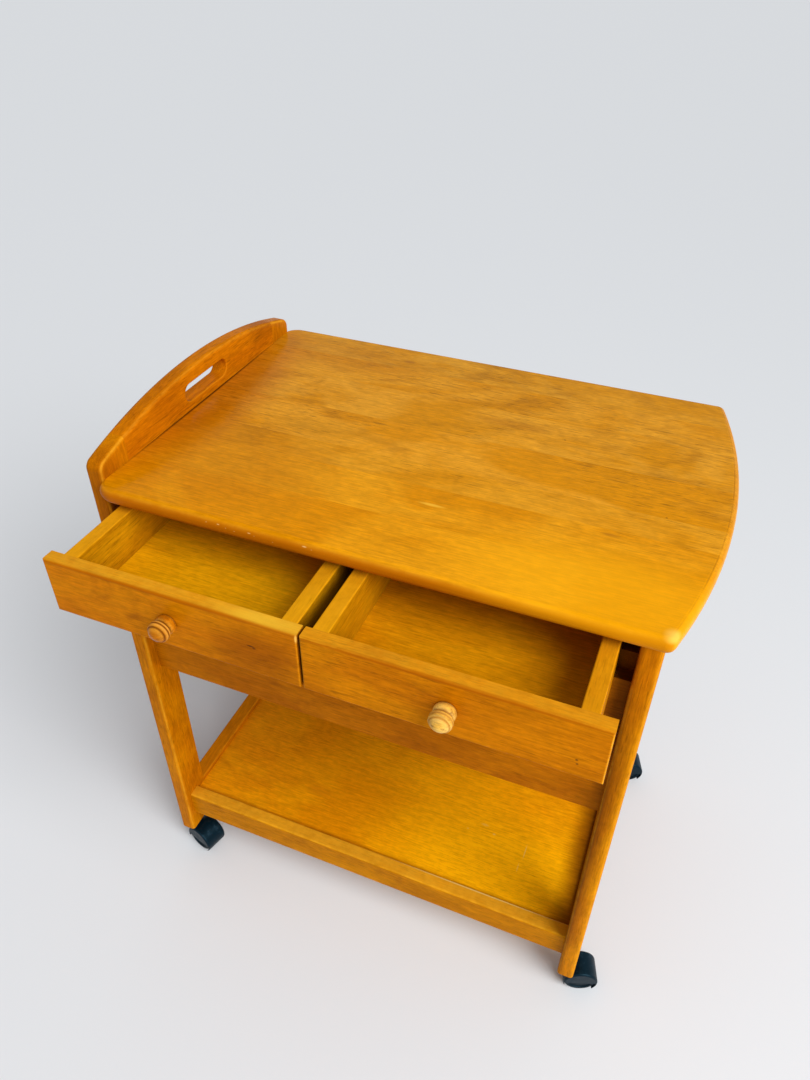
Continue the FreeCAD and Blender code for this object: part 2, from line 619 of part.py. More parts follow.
for index, share in enumerate(HINGE_SHARES):
    name = f"hinge_{index}"
    x = f"leaf_x + leaf_length * {share} - hinge_width / 2"
    line = ("hinge_y", "hinge_z")
    sections = ((x, f"{third} - {half_gap}"), (f"{x} + {third} + {half_gap}", f"{third} - knuckle_gap"),
                (f"{x} + 2 * {third} + {half_gap}", f"{third} - {half_gap}"))
    rooms = ((x, third), (f"{x} + {third}", third), (f"{x} + 2 * {third}", third))
    knuckles = [rod(f"{name}_knuckle_{number}", (start, *line), "knuckle_radius", length, "X")
                for number, (start, length) in enumerate(sections)]
    notches = [rod(f"{name}_notch_{number}", (start, *line), "knuckle_radius + knuckle_gap", length, "X")
               for number, (start, length) in enumerate(rooms)]
    bore = rod(f"{name}_bore", (x, *line), "hinge_pin_radius + pin_clear", "hinge_width", "X")
    hinge_pins.append(rod(f"{name}_pin", (x, *line), "hinge_pin_radius", "hinge_width", "X"))
    fixed_tools = [bore]
    leaf_tools = [bore]
    for number, (across_share, out_share) in enumerate(FLAP_SCREW_SHARES):
        screw_x = f"{x} + hinge_width * {across_share}"
        spot = (screw_x, f"hinge_y - hinge_flap * {out_share}", "under - hinge_plate")
        screw, sink, pilot = flap_screw(f"{name}_fixed_screw_{number}", spot, "Z")
        fixed_screws.append(screw)
        fixed_tools.append(sink)
        top_holes.append(pilot)
        spot = (screw_x, "leaf_y - hinge_plate", f"hinge_z - hinge_flap * {out_share}")
        screw, sink, pilot = flap_screw(f"{name}_leaf_screw_{number}", spot, "Y")
        leaf_screws.append(screw)
        leaf_tools.append(sink)
        leaf_holes.append(pilot)
    fixed_plate = block(f"{name}_fixed_plate", (x, "hinge_y - hinge_flap", "under - hinge_plate"),
                        ("hinge_width", "hinge_flap", "hinge_plate"))
    leaf_plate = block(f"{name}_leaf_plate", (x, "leaf_y - hinge_plate", "hinge_z - hinge_flap"),
                       ("hinge_width", "hinge_plate", "hinge_flap"))
    fixed_stock = joined(f"{name}_fixed_stock",
                         [cut(f"{name}_fixed_notched", fixed_plate, [notches[1]]), knuckles[0], knuckles[2]])
    leaf_stock = joined(f"{name}_leaf_stock",
                        [cut(f"{name}_leaf_notched", leaf_plate, [notches[0], notches[2]]), knuckles[1]])
    fixed_flaps.append(cut(f"{name}_fixed_flap", fixed_stock, fixed_tools))
    leaf_flaps.append(cut(f"{name}_leaf_flap", leaf_stock, leaf_tools))
keep(group("fixed_flaps", fixed_flaps), "hinge_fixed_flaps")
keep(group("leaf_flaps", leaf_flaps), "hinge_leaf_flaps")
keep(group("hinge_pins", hinge_pins), "hinge_pins")
keep(group("fixed_screws", fixed_screws), "hinge_fixed_screws")
keep(group("leaf_screws", leaf_screws), "hinge_leaf_screws")

# The top. Its rounded outline runs on past the face of the handle and is cut off there.
bullnose = f"min(top_round; top_thickness * {ROUND_LIMIT_SHARE})"
bow_radius = "(top_depth * top_depth / 4 + bow_rise * bow_rise) / (2 * bow_rise)"
top = bar("table_top", ("x0", "y0", "under"), "XY_Plane",
          (("-top_round", "0"), ("top_length", "0", bow_radius), ("top_length", "top_depth"),
           ("-top_round", "top_depth")), "top_thickness")
soften(top, "right_corner", lambda box: at(box.XMin, box.XMax, "top_length"))
soften(top, "left_corner", lambda box: at(box.XMin, box.XMax, "-top_round") and box.YLength < CLOSE)
soften(top, bullnose, lambda box: box.ZLength < CLOSE)
beyond = block("beyond_handle", ("x0 - 2 * top_round", "y0 - top_round", "under - top_round"),
               ("2 * top_round", "top_depth + 2 * top_round", "top_thickness + 2 * top_round"))
keep(cut("table_top", top, [beyond, *top_holes]), "table_top")

# The leaf, hanging behind the back legs.
leaf = bar("drop_leaf", ("leaf_x", "leaf_y", "leaf_top"), "XZ_Plane",
           (("0", "-leaf_width"), ("leaf_length", "-leaf_width"), ("leaf_length", "0"), ("0", "0")),
           "leaf_thickness")
soften(leaf, "leaf_corner", lambda box: at(box.ZMin, box.ZMax, "-leaf_width") and box.XLength < CLOSE)
soften(leaf, f"min(leaf_round; leaf_thickness * {ROUND_LIMIT_SHARE})",
       lambda box: box.YLength < CLOSE and box.ZMin < -CLOSE)
keep(cut("drop_leaf", leaf, leaf_holes), "drop_leaf")

# Stay arms on brackets behind the back apron.
brackets = []
stay_pins = []
bracket_screws = []
apron_holes = [dowel_holes]
for index, share in enumerate(STAY_SHARES):
    name = ("left", "right")[index] + "_stay"
    x = f"leaf_x + leaf_length * {share}"
    edge = f"{x} - bracket_width / 2"
    depth = "stay_stand + bracket_tail"
    far_ear = "bracket_width - bracket_plate"
    bracket = bar(f"{name}_bracket", (edge, "back_apron_y + apron_thickness", "stay_z - bracket_height / 2"),
                  "XY_Plane",
                  (("0", "0"), ("bracket_width", "0"), ("bracket_width", depth), (far_ear, depth),
                   (far_ear, "bracket_plate"), ("bracket_plate", "bracket_plate"), ("bracket_plate", depth),
                   ("0", depth)),
                  "bracket_height")
    bore = rod(f"{name}_bore", (edge, "stay_y", "stay_z"), "stay_pin_radius + pin_clear", "bracket_width",
               "X")
    tools = [bore]
    for number, height in enumerate(BRACKET_SCREW_SHARES):
        spot = (x, "back_apron_y + apron_thickness + bracket_plate",
                f"stay_z + bracket_height * ({height} - 0.5)")
        wood = (spot[0], "back_apron_y + apron_thickness", spot[2])
        head = cone(f"{name}_screw_head_{number}", spot, "hinge_screw_head", "hinge_screw_radius",
                    "bracket_plate", "-Y")
        shaft = rod(f"{name}_screw_shaft_{number}", spot, "hinge_screw_radius",
                    "bracket_plate + hinge_screw_bite", "-Y")
        bracket_screws.append(joined(f"{name}_screw_{number}", [head, shaft]))
        tools.append(cone(f"{name}_screw_sink_{number}", spot, "hinge_screw_head + hole_clear",
                          "hinge_screw_radius + hole_clear", "bracket_plate", "-Y"))
        apron_holes.append(rod(f"{name}_screw_pilot_{number}", wood, "hinge_screw_radius + hole_clear",
                               "hinge_screw_bite + hole_clear", "-Y"))
    brackets.append(cut(f"{name}_bracket", bracket, tools))
    shank = rod(f"{name}_pin_shank", (edge, "stay_y", "stay_z"), "stay_pin_radius", "bracket_width", "X")
    heads = [rod(f"{name}_pin_head", (f"{edge} - stay_head_height", "stay_y", "stay_z"), "stay_pin_head",
                 "stay_head_height", "X"),
             rod(f"{name}_pin_tail", (f"{edge} + bracket_width", "stay_y", "stay_z"), "stay_pin_head",
                 "stay_head_height", "X")]
    stay_pins.append(joined(f"{name}_pin", [shank, *heads]))
    arm = new_body(f"{name}_arm", f"{x} - stay_half", "stay_y", "stay_z")
    section = new_sketch(arm, "YZ_Plane")
    outline(section, (
        ("-stay_half", "-stay_reach", "stay_half"),
        ("0", "-stay_reach - stay_half", "stay_half"),
        ("stay_half", "-stay_reach"),
        ("stay_half", "0", "stay_half"),
        ("0", "stay_half", "stay_half"),
        ("-stay_half", "0"),
    ))
    ring(section, "0", "0", "stay_pin_radius + pin_clear")
    pad(arm, section, "stay_width")
    keep(arm, f"{name}_arm")
keep(group("brackets", brackets), "stay_brackets")
keep(group("stay_pins", stay_pins), "stay_pins")
keep(group("bracket_screws", bracket_screws), "bracket_screws")
back_apron = board("back_apron", ("x0", "back_apron_y", "apron_low"),
                   ("clear_length", "apron_thickness", "under - apron_low"))
keep(cut("back_apron", back_apron, apron_holes), "back_apron")

# Drawer runners: a ledge under the drawer sides and a guide beside them.
guide_top = "runner_thickness + guide_height"
outer_ledge = "outer_guide + slide_clear + runner_reach"
runner_z = "runner_top - runner_thickness"
left_runner = bar("left_runner", ("x0", "runner_y", runner_z), "XZ_Plane",
                  (("0", "0"), (outer_ledge, "0"), (outer_ledge, "runner_thickness"),
                   ("outer_guide", "runner_thickness"), ("outer_guide", guide_top), ("0", guide_top)),
                  "runner_length")
keep(left_runner, "left_drawer_runner")
right_guide = "slide_clear + runner_reach"
right_runner = bar("right_runner", (f"right_x - ({outer_ledge})", "runner_y", runner_z), "XZ_Plane",
                   (("0", "0"), (outer_ledge, "0"), (outer_ledge, guide_top), (right_guide, guide_top),
                    (right_guide, "runner_thickness"), ("0", "runner_thickness")),
                   "runner_length")
keep(right_runner, "right_drawer_runner")
centre_ledge = "boxes_gap + 2 * runner_reach"
guide_left = "runner_reach + slide_clear"
guide_right = "runner_reach + boxes_gap - slide_clear"
centre_x = "left_box_x + box_width - runner_reach"
centre_runner = bar("centre_runner", (centre_x, "runner_y", runner_z), "XZ_Plane",
                    (("0", "0"), (centre_ledge, "0"), (centre_ledge, "runner_thickness"),
                     (guide_right, "runner_thickness"), (guide_right, guide_top), (guide_left, guide_top),
                     (guide_left, "runner_thickness"), ("0", "runner_thickness")),
                    "runner_length")
keep(centre_runner, "centre_drawer_runner")

# Drawers, pulled out.
groove_low = "bottom_rise - groove_clear"
groove_high = "bottom_rise + bottom_thickness + groove_clear"
groove_in = "wall_thickness - bottom_groove"
for side in ("left", "right"):
    name = f"{side}_drawer"
    front_x = f"{side}_front_x"
    box_x = f"{side}_box_x"
    knob_x = f"{front_x} + front_width / 2"
    front = board(f"{name}_front", (front_x, "drawer_y", "drawer_top - front_height"),
                  ("front_width", "front_thickness", "front_height"))
    soften(front, "front_round", lambda box: at(box.YMin, box.YMax, "0"))
    screw_hole = rod(f"{name}_screw_hole", (knob_x, "drawer_y - knob_screw_reach - hole_clear", "knob_z"),
                     "knob_screw_radius + hole_clear", "knob_screw_reach + front_thickness + hole_clear", "Y")
    keep(cut(f"{name}_front", front, [screw_hole]), f"{name}_front")
    near_wall = bar(f"{name}_near_wall", (box_x, "box_y", "wall_low"), "XZ_Plane",
                    (("0", "0"), ("wall_thickness", "0"), ("wall_thickness", groove_low),
                     (groove_in, groove_low), (groove_in, groove_high), ("wall_thickness", groove_high),
                     ("wall_thickness", "wall_height"), ("0", "wall_height")), "box_length")
    far_x = f"{box_x} + box_width - wall_thickness"
    far_wall = bar(f"{name}_far_wall", (far_x, "box_y", "wall_low"), "XZ_Plane",
                   (("0", "0"), ("wall_thickness", "0"), ("wall_thickness", "wall_height"),
                    ("0", "wall_height"), ("0", groove_high), ("bottom_groove", groove_high),
                    ("bottom_groove", groove_low), ("0", groove_low)), "box_length")
    for wall, hand in ((near_wall, "left"), (far_wall, "right")):
        soften(wall, "wall_round", lambda box: at(box.ZMin, box.ZMax, "wall_height") and box.XLength < CLOSE)
        keep(wall, f"{name}_{hand}_side")
    bottom = board(f"{name}_bottom",
                   (f"{box_x} + {groove_in} + groove_clear", "box_y", "wall_low + bottom_rise"),
                   ("inner_width + 2 * (bottom_groove - groove_clear)", "box_length", "bottom_thickness"))
    keep(bottom, f"{name}_bottom")
    back = board(f"{name}_back", (f"{box_x} + wall_thickness", "box_y + box_length - box_back_thickness",
                                  "wall_low + bottom_rise + bottom_thickness"),
                 ("inner_width", "box_back_thickness", "wall_height - bottom_rise - bottom_thickness"))
    keep(back, f"{name}_back")
    knob = new_body(f"{name}_knob", knob_x, "drawer_y", "knob_z")
    section = new_sketch(knob, "XY_Plane")
    points = [("0", "0")]
    for index, (radius_share, length_share, swell_share) in enumerate(KNOB_SHARES):
        point = (f"knob_radius * {radius_share}", f"-knob_length * {length_share}")
        following = KNOB_SHARES[index + 1] if index + 1 < len(KNOB_SHARES) else None
        if swell_share:
            rise = f"knob_radius * {radius_share - following[0]:.4f}"
            run = f"knob_length * {following[1] - length_share:.4f}"
            swell = f"knob_radius * {swell_share}"
            point += (f"-((({rise})^2 + ({run})^2) / 4 + ({swell})^2) / (2 * {swell})",)
        elif following is None:
            cap = f"knob_length * {1 - length_share:.4f}"
            point += (f"-((knob_radius * {radius_share})^2 + ({cap})^2) / (2 * {cap})",)
        points.append(point)
    points.append(("0", "-knob_length"))
    outline(section, points)
    spin(knob, section)
    keep(cut(f"{name}_knob", knob, [screw_hole]), f"{name}_knob")
    shaft = rod(f"{name}_screw_shaft", (knob_x, "drawer_y - knob_screw_reach", "knob_z"),
                "knob_screw_radius", "knob_screw_reach + front_thickness", "Y")
    head = rod(f"{name}_screw_head", (knob_x, "box_y", "knob_z"), "knob_head_radius", "knob_head_height",
               "Y")
    keep(joined(f"{name}_knob_screw", [shaft, head]), f"{name}_knob_screw")

# Shelf: grooved front and back rails, side rails between the legs, and the panel.
panel_low = "rail_height - shelf_recess - shelf_thickness - groove_clear"
panel_high = "rail_height - shelf_recess + groove_clear"
groove_back = "rail_thickness - shelf_groove"
front_rail = bar("front_rail", ("x0", "front_rail_y", "rail_low"), "YZ_Plane",
                 (("0", "0"), ("rail_thickness", "0"), ("rail_thickness", panel_low),
                  (groove_back, panel_low), (groove_back, panel_high), ("rail_thickness", panel_high),
                  ("rail_thickness", "rail_height"), ("0", "rail_height")), "clear_length")
back_rail = bar("back_rail", ("x0", "back_rail_y", "rail_low"), "YZ_Plane",
                (("0", "0"), ("rail_thickness", "0"), ("rail_thickness", "rail_height"),
                 ("0", "rail_height"), ("0", panel_high), ("shelf_groove", panel_high),
                 ("shelf_groove", panel_low), ("0", panel_low)), "clear_length")
for rail, label in ((front_rail, "shelf_front_rail"), (back_rail, "shelf_back_rail")):
    soften(rail, "rail_round", lambda box: at(box.ZMin, box.ZMax, "rail_height") and box.YLength < CLOSE)
    keep(cut(label, rail, [dowel_holes]), label)
for label, x in (("shelf_left_rail", "x0 - end_thickness"), ("shelf_right_rail", "right_x")):
    rail = board(label, (x, "front_leg_y + leg_width", "rail_low"),
                 ("end_thickness", "clear_depth", "rail_height"))
    soften(rail, "rail_round", lambda box: at(box.ZMin, box.ZMax, "rail_height") and box.XLength < CLOSE)
    keep(cut(label, rail, [dowel_holes]), label)
tongue = "shelf_groove - groove_clear"
shelf_y = f"front_rail_y + rail_thickness - ({tongue})"
shelf_depth = f"back_rail_y - front_rail_y - rail_thickness + 2 * ({tongue})"
shelf = board("shelf_panel", ("x0", shelf_y, "shelf_top - shelf_thickness"),
              ("clear_length", shelf_depth, "shelf_thickness"))
keep(shelf, "shelf_panel")

# Casters, built about their swivel line and then set under the legs.
hub_end = "wheel_inner + wheel_width"


def set_caster(thing, name, x, y):
    """Stand a caster piece under its leg, turned to its heading."""
    thing.Placement = FreeCAD.Placement(FreeCAD.Vector(), FreeCAD.Rotation(FreeCAD.Vector(0, 0, 1), 1))
    thing.setExpression("Placement.Rotation.Angle", bound(f"{name}_turn"))
    place(thing, x, y, "0")


def wheel(name, way):
    """One wheel, its hollow face outwards."""
    body = new_body(name, "caster_trail", "0", "wheel_radius")
    if way < 0:
        body.Placement = FreeCAD.Placement(FreeCAD.Vector(), FreeCAD.Rotation(FreeCAD.Vector(0, 0, 1), 180))
    section = new_sketch(body, "XY_Plane")
    outline(section, (
        ("axle_radius + pin_clear", "wheel_inner"),
        ("wheel_radius", "wheel_inner"),
        ("wheel_radius", hub_end),
        (f"wheel_radius * {WHEEL_RIM_SHARE}", hub_end),
        (f"wheel_radius * {WHEEL_HOLLOW_SHARE}", f"{hub_end} - wheel_dish"),
        (f"wheel_radius * {WHEEL_HUB_SHARE}", f"{hub_end} - wheel_dish"),
        (f"wheel_radius * {WHEEL_HUB_SHARE}", hub_end),
        ("axle_radius + pin_clear", hub_end),
    ))
    spin(body, section)
    soften(body, "wheel_round", lambda box: box.YLength < CLOSE and box.XMax > value("wheel_radius") - CLOSE)
    return body


for name, x, y in LEG_SPOTS:
    drum = new_body(f"{name}_drum", "caster_trail", "0", "wheel_radius")
    section = new_sketch(drum, "XY_Plane")
    outline(section, (("0", "-hood_half"), ("hood_radius", "-hood_half"), ("hood_radius", "hood_half"),
                      ("0", "hood_half")))
    spin(drum, section)
    soften(drum, "hood_round", lambda box: box.YLength < CLOSE and box.XMax > value("hood_radius") - CLOSE)
    boss_low = f"wheel_radius + hood_radius * {BOSS_LOW_SHARE}"
    boss = rod(f"{name}_boss", ("0", "0", boss_low), "boss_radius", f"boss_top - ({boss_low})", "Z")
    hollow = "wheel_width + 2 * wheel_gap"
    left_edge = "caster_trail - 2 * hood_radius"
    tools = [
        rod(f"{name}_hollow_a", ("caster_trail", "hood_web / 2", "wheel_radius"), "hood_hollow", hollow,
            "Y"),
        rod(f"{name}_hollow_b", ("caster_trail", "-hood_inner_half", "wheel_radius"), "hood_hollow", hollow,
            "Y"),
        rod(f"{name}_stem_hole", ("0", "0", "stem_low"), "stem_radius + hole_clear", "boss_depth", "Z"),
        rod(f"{name}_axle_hole", ("caster_trail", "-hood_web", "wheel_radius"), "axle_radius + pin_clear",
            "2 * hood_web", "Y"),
        block(f"{name}_front_cut", (left_edge, "-2 * hood_half", "-hood_radius"),
              (f"hood_radius * (2 + {HOOD_CUT_SHARE})", "4 * hood_half",
               "hood_radius + wheel_radius - web_drop")),
        block(f"{name}_floor_cut", (left_edge, "-2 * hood_half", "-hood_radius"),
              ("4 * hood_radius", "4 * hood_half", "hood_radius + hood_lip")),
    ]
    disc = rod(f"{name}_disc", ("caster_trail", "-2 * hood_half", "wheel_radius"), "hood_hollow",
               "4 * hood_half", "Y")
    lower = [block(f"{name}_lower_{number}", (left_edge, start, "-hood_radius"),
                   ("4 * hood_radius", "2 * hood_half", "hood_radius + wheel_radius"))
             for number, start in enumerate(("hood_web / 2", "-2 * hood_half - hood_web / 2"))]
    skirts = doc.addObject("Part::Common", f"{name}_skirts")
    skirts.Base = disc
    skirts.Tool = group(f"{name}_lower", lower)
    hood = cut(f"{name}_hood", joined(f"{name}_hood_stock", [drum, boss]),
               [joined(f"{name}_hood_tools", tools + [skirts])])
    set_caster(hood, name, x, y)
    keep(hood, f"{name}_caster_hood")
    stem = rod(f"{name}_stem", (x, y, "stem_low"), "stem_radius", "stem_top - stem_low", "Z")
    keep(stem, f"{name}_caster_stem")
    axle = rod(f"{name}_axle", ("caster_trail", f"-({hub_end})", "wheel_radius"), "axle_radius",
               f"2 * ({hub_end})", "Y")
    wheels = group(f"{name}_wheels", [wheel(f"{name}_wheel_a", 1), wheel(f"{name}_wheel_b", -1), axle])
    set_caster(wheels, name, x, y)
    keep(wheels, f"{name}_caster_wheels")

doc.recompute()
for thing in doc.Objects:
    if "Invalid" in thing.State or "Error" in thing.State:
        raise RuntimeError(f"{thing.Name} did not build: {thing.State}")
os.makedirs("parts", exist_ok=True)
for piece in pieces:
    shape = piece.Shape
    if shape.isNull() or not shape.isValid() or not shape.Solids:
        raise RuntimeError(f"{piece.Label} has no sound shape")
    shape.exportStep(f"parts/{piece.Label}.step")
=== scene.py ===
import math

import bpy
from mathutils import Matrix, Vector

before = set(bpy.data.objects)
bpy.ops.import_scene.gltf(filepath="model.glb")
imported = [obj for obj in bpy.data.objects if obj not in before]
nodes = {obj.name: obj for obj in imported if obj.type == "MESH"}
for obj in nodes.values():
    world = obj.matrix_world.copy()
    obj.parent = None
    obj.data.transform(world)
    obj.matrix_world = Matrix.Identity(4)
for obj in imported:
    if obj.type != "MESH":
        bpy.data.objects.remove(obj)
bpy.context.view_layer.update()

# Camera, found by matching the photo's edges: place and axes in the row frame and metres, lens and sensor
# in millimetres, and the nearest distance that it shows.
CAMERA_PLACE = (0.26757, -0.73156, 1.21376)
CAMERA_AHEAD = (-0.29005, 0.73091, -0.61777)
CAMERA_RIGHT = (0.92732, 0.37419, 0.00734)
CAMERA_LENS = 27.70
CAMERA_SENSOR = 36.0
CAMERA_NEAR = 0.01

# Stage: half the floor's size in metres and its colour, then the soft lights.
FLOOR_HALF = 40.0
FLOOR_SRGB = (226, 229, 232)
WORLD_SRGB = (250, 250, 252)
# Strength of the surroundings as light, and as what the camera and reflections see.
WORLD_LEVEL = 0.42
WORLD_SHOWN = 0.74
# The key is a broad sun: the way its light comes from, its spread in degrees and its strength.
SUN_FROM = (1.0, -0.55, 1.05)
SUN_SPREAD = 40.0
SUN_LEVEL = 2.3
# name, place, point it faces, width, height, watts
LAMPS = (
    ("window_right", (1.4, -0.9, 1.5), (0.1, 0.0, 0.5), 1.0, 1.4, 13.0),
)

# Tones of each wood in 0 to 255 screen colours: pale, plain, deep, and a pale edge colour for wear,
# painted highlight and painted light.
TONES = {
    # The top's pale tone is tan: partly milky worn varnish, partly painted sheen.
    "top": ((224, 154, 38), (208, 134, 3), (164, 102, 6), (236, 170, 40)),
    "handle": ((201, 116, 4), (182, 99, 3), (146, 73, 4), (220, 150, 40)),
    "leg": ((208, 129, 4), (190, 110, 3), (150, 80, 4), (238, 168, 40)),
    "front": ((208, 126, 4), (192, 108, 3), (150, 78, 4), (252, 195, 48)),
    # The apron tone is darker than the front's as painted shade; the aprons and the shelf's end rails use
    # it.
    "apron": ((189, 109, 4), (173, 95, 3), (142, 72, 4), (212, 136, 26)),
    "shelf": ((232, 153, 5), (219, 136, 3), (180, 102, 4), (240, 176, 50)),
    "rail": ((208, 133, 4), (190, 117, 3), (154, 88, 4), (246, 180, 44)),
    "box": ((204, 143, 8), (185, 122, 4), (150, 91, 4), (238, 163, 22)),
    "bottom_left": ((232, 168, 10), (221, 155, 6), (186, 120, 5), (236, 176, 40)),
    "bottom_right": ((218, 148, 8), (204, 132, 4), (170, 102, 4), (232, 168, 34)),
    # The inner tone is darker as painted shade, for the hidden runners, battens and dowels.
    "inner": ((170, 96, 6), (150, 78, 4), (116, 56, 4), (184, 110, 18)),
    # The two knobs are one wood: the left tone is darker as painted shade, the right paler as painted
    # light.
    "knob_left": ((216, 136, 16), (180, 99, 6), (86, 38, 4), (240, 180, 70)),
    "knob_right": ((244, 197, 98), (227, 170, 66), (148, 88, 24), (250, 212, 130)),
}
# Screen colour of painted shade on the rounded rim of the top and of the leaf, where it turns away from
# the flat face.
TOP_RIM_SHADE = (180, 96, 3)

# Tint of reflections where a surface is looked at straight on, on wood and on plastic.
AMBER = (1.0, 0.66, 0.10, 1.0)
COOL = (0.35, 0.75, 1.0, 1.0)

# Sockets of a mix node that take and give colours.
MIX_FIRST = 6
MIX_SECOND = 7
MIX_RESULT = 2


def linear(srgb):
    """Turns a 0 to 255 screen colour into the linear RGBA that a socket takes."""
    out = []
    for part in srgb:
        share = part / 255.0
        out.append(share / 12.92 if share <= 0.04045 else ((share + 0.055) / 1.055) ** 2.4)
    return (*out, 1.0)


class Tree:
    """One material and short calls that add nodes to it."""

    def __init__(self, name):
        self.material = bpy.data.materials.new(name)
        self.material.use_nodes = True
        self.tree = self.material.node_tree
        self.shader = self.tree.nodes["Principled BSDF"]

    def feed(self, socket, value):
        if isinstance(value, bpy.types.NodeSocket):
            self.tree.links.new(value, socket)
        else:
            socket.default_value = value

    def add(self, kind, inputs, **settings):
        node = self.tree.nodes.new(kind)
        for key, value in settings.items():
            setattr(node, key, value)
        for key, value in inputs.items():
            self.feed(node.inputs[key], value)
        return node

    def shade(self, **inputs):
        for key, value in inputs.items():
            self.feed(self.shader.inputs[key.replace("_", " ")], value)

    def maths(self, operation, first, second=0.0):
        return self.add("ShaderNodeMath", {0: first, 1: second}, operation=operation).outputs[0]

    def times(self, *factors):
        product = factors[0]
        for factor in factors[1:]:
            product = self.maths("MULTIPLY", product, factor)
        return product

    def vector(self, operation, first, second):
        return self.add("ShaderNodeVectorMath", {0: first, 1: second}, operation=operation).outputs[0]

    def split(self, vector):
        return self.add("ShaderNodeSeparateXYZ", {"Vector": vector}).outputs

    def span(self, value, low, high, start=0.0, end=1.0, kind="SMOOTHSTEP"):
        """Carries low..high to start..end, held at both ends."""
        node = self.add(
            "ShaderNodeMapRange",
            {"Value": value, "From Min": low, "From Max": high, "To Min": start, "To Max": end},
            interpolation_type=kind,
        )
        return node.outputs[0]

    def blend(self, factor, first, second):
        node = self.add("ShaderNodeMix", {"Factor": factor}, data_type="RGBA", clamp_factor=True)
        self.feed(node.inputs[MIX_FIRST], first)
        self.feed(node.inputs[MIX_SECOND], second)
        return node.outputs[MIX_RESULT]

    def noise(self, place, scales, detail=2.0, rough=0.5, twist=0.0):
        stretched = self.vector("MULTIPLY", place, scales)
        node = self.add(
            "ShaderNodeTexNoise",
            {"Vector": stretched, "Scale": 1.0, "Detail": detail, "Roughness": rough, "Distortion": twist},
        )
        return node.outputs["Fac"]

    def steps(self, value, stops):
        """A ramp of flat steps: each stop is a place from 0 to 1 and the colour that starts there."""
        node = self.add("ShaderNodeValToRGB", {"Fac": value})
        ramp = node.color_ramp
        ramp.interpolation = "CONSTANT"
        while len(ramp.elements) < len(stops):
            ramp.elements.new(1.0)
        for element, (position, colour) in zip(ramp.elements, stops):
            element.position = position
            element.color = (*colour, 1.0)
        return node.outputs["Color"]

    def bump(self, height, strength, distance):
        node = self.add("ShaderNodeBump", {"Height": height, "Strength": strength, "Distance": distance})
        return node.outputs["Normal"]


# Order in which the row frame's x, y, z become along, across and through the grain.
GRAIN_ORDER = {"X": (0, 1, 2), "Y": (1, 0, 2), "Z": (2, 0, 1)}

# How far a seed moves the grain along each axis, and the distance after which that starts again.
WOOD_STEPS = (1.37, 2.11, 0.73)
WOOD_TURNS = (7.0, 5.0, 3.0)
# How far a board's tint moves its grain.
BOARD_SHIFT = (23.0, 41.0, 17.0)

# Noise layers of the wood: scale along, across and through the grain, detail, roughness and twist.
CLOUDS = ((4.5, 10.0, 10.0), 4.0, 0.55, 1.2)
BLOTS = ((11.0, 22.0, 22.0), 4.0, 0.55, 1.5)
PATCHES = ((3.6, 9.0, 9.0), 3.0, 0.55, 0.6)
LINES = ((9.0, 140.0, 140.0), 4.0, 0.62, 0.3)
FIBRE = ((42.0, 560.0, 560.0), 3.0, 0.6)
PORES = ((55.0, 780.0, 780.0), 1.0, 0.5)
THREADS = ((38.0, 250.0, 250.0), 3.0, 0.65, 0.3)
MOTTLE = ((110.0, 150.0, 150.0), 3.0, 0.6)
RUB = ((70.0, 70.0, 70.0), 5.0, 0.68)

# Noise values between which a layer comes in.
EVEN_SPAN = (0.3, 0.7)
CLOUD_SPAN = (0.40, 0.62)
BLOT_SPAN = (0.49, 0.74)
LINE_SPAN = (0.50, 0.72)
LINE_PATCH_SPAN = (0.40, 0.64)
PORE_SPAN = (0.60, 0.69)
PORE_PATCH_SPAN = (0.36, 0.6)
RUB_SPAN = (0.30, 0.64)
CROWN_RUB_SPAN = (0.3, 0.65)
SEAM_RUB_SPAN = (0.35, 0.6)

# Least and greatest share of a layer over its span.
LINE_SHARES = (0.05, 1.0)
PORE_SHARES = (0.25, 1.0)
CALM_SHARES = (0.3, 1.0)
RUB_SHARES = (0.25, 1.0)
CROWN_SHARES = (0.6, 1.0)
END_SHARES = (0.2, 0.8)
SEAM_SHARES = (0.1, 0.75)
DOWN_SHARES = (0.1, 1.0)
MOTTLE_DEPTH = 0.06

# Sizes of a normal's part between which a surface counts as a rounded edge, as facing down or up,
# as a board's rim, as the end of a board, and as the thin seam where the rim starts.
EDGE_SPAN = (0.99, 0.74)
DOWN_SPAN = (-0.5, 0.1)
UP_SPAN = (0.70, 0.97)
RIM_SPAN = (0.985, 0.55)
END_RIM_SPAN = (0.9, 0.3)
END_SPAN = (0.5, 0.9)
END_RIM_SHARES = (1.0, 0.4)
SEAM_START = (0.998, 0.985)
SEAM_STOP = (0.93, 0.965)
SEAM_ENDS = (0.10, 0.20)

# Painted shade in hollows: how far away other surfaces count, in metres, samples, and the openness that it
# spans.
HOLLOW_REACH = 0.05
HOLLOW_SAMPLES = 4
HOLLOW_SPAN = (0.10, 0.52)

# Roughness that clouds, fibre and rounded edges add, depth of a pore beside a fibre's height, and the
# strength and distance of the bump.
CLOUD_ROUGH = (-0.04, 0.05)
FIBRE_ROUGH = (-0.02, 0.03)
EDGE_ROUGH = 0.25
PORE_DEPTH = 0.8
WOOD_BUMP = (0.18, 0.0002)

# A mark is whole up to the first share of its radii and gone at the second.
SPOT_SPAN = (0.25, 1.0)


def spot(t, place, centre, radii):
    """1 at a mark's centre, falling to 0 at its radii."""
    scaled = t.vector("DIVIDE", t.vector("SUBTRACT", place, centre), radii)
    length = t.add("ShaderNodeVectorMath", {0: scaled}, operation="LENGTH").outputs["Value"]
    return t.span(length, *SPOT_SPAN, 1.0, 0.0)


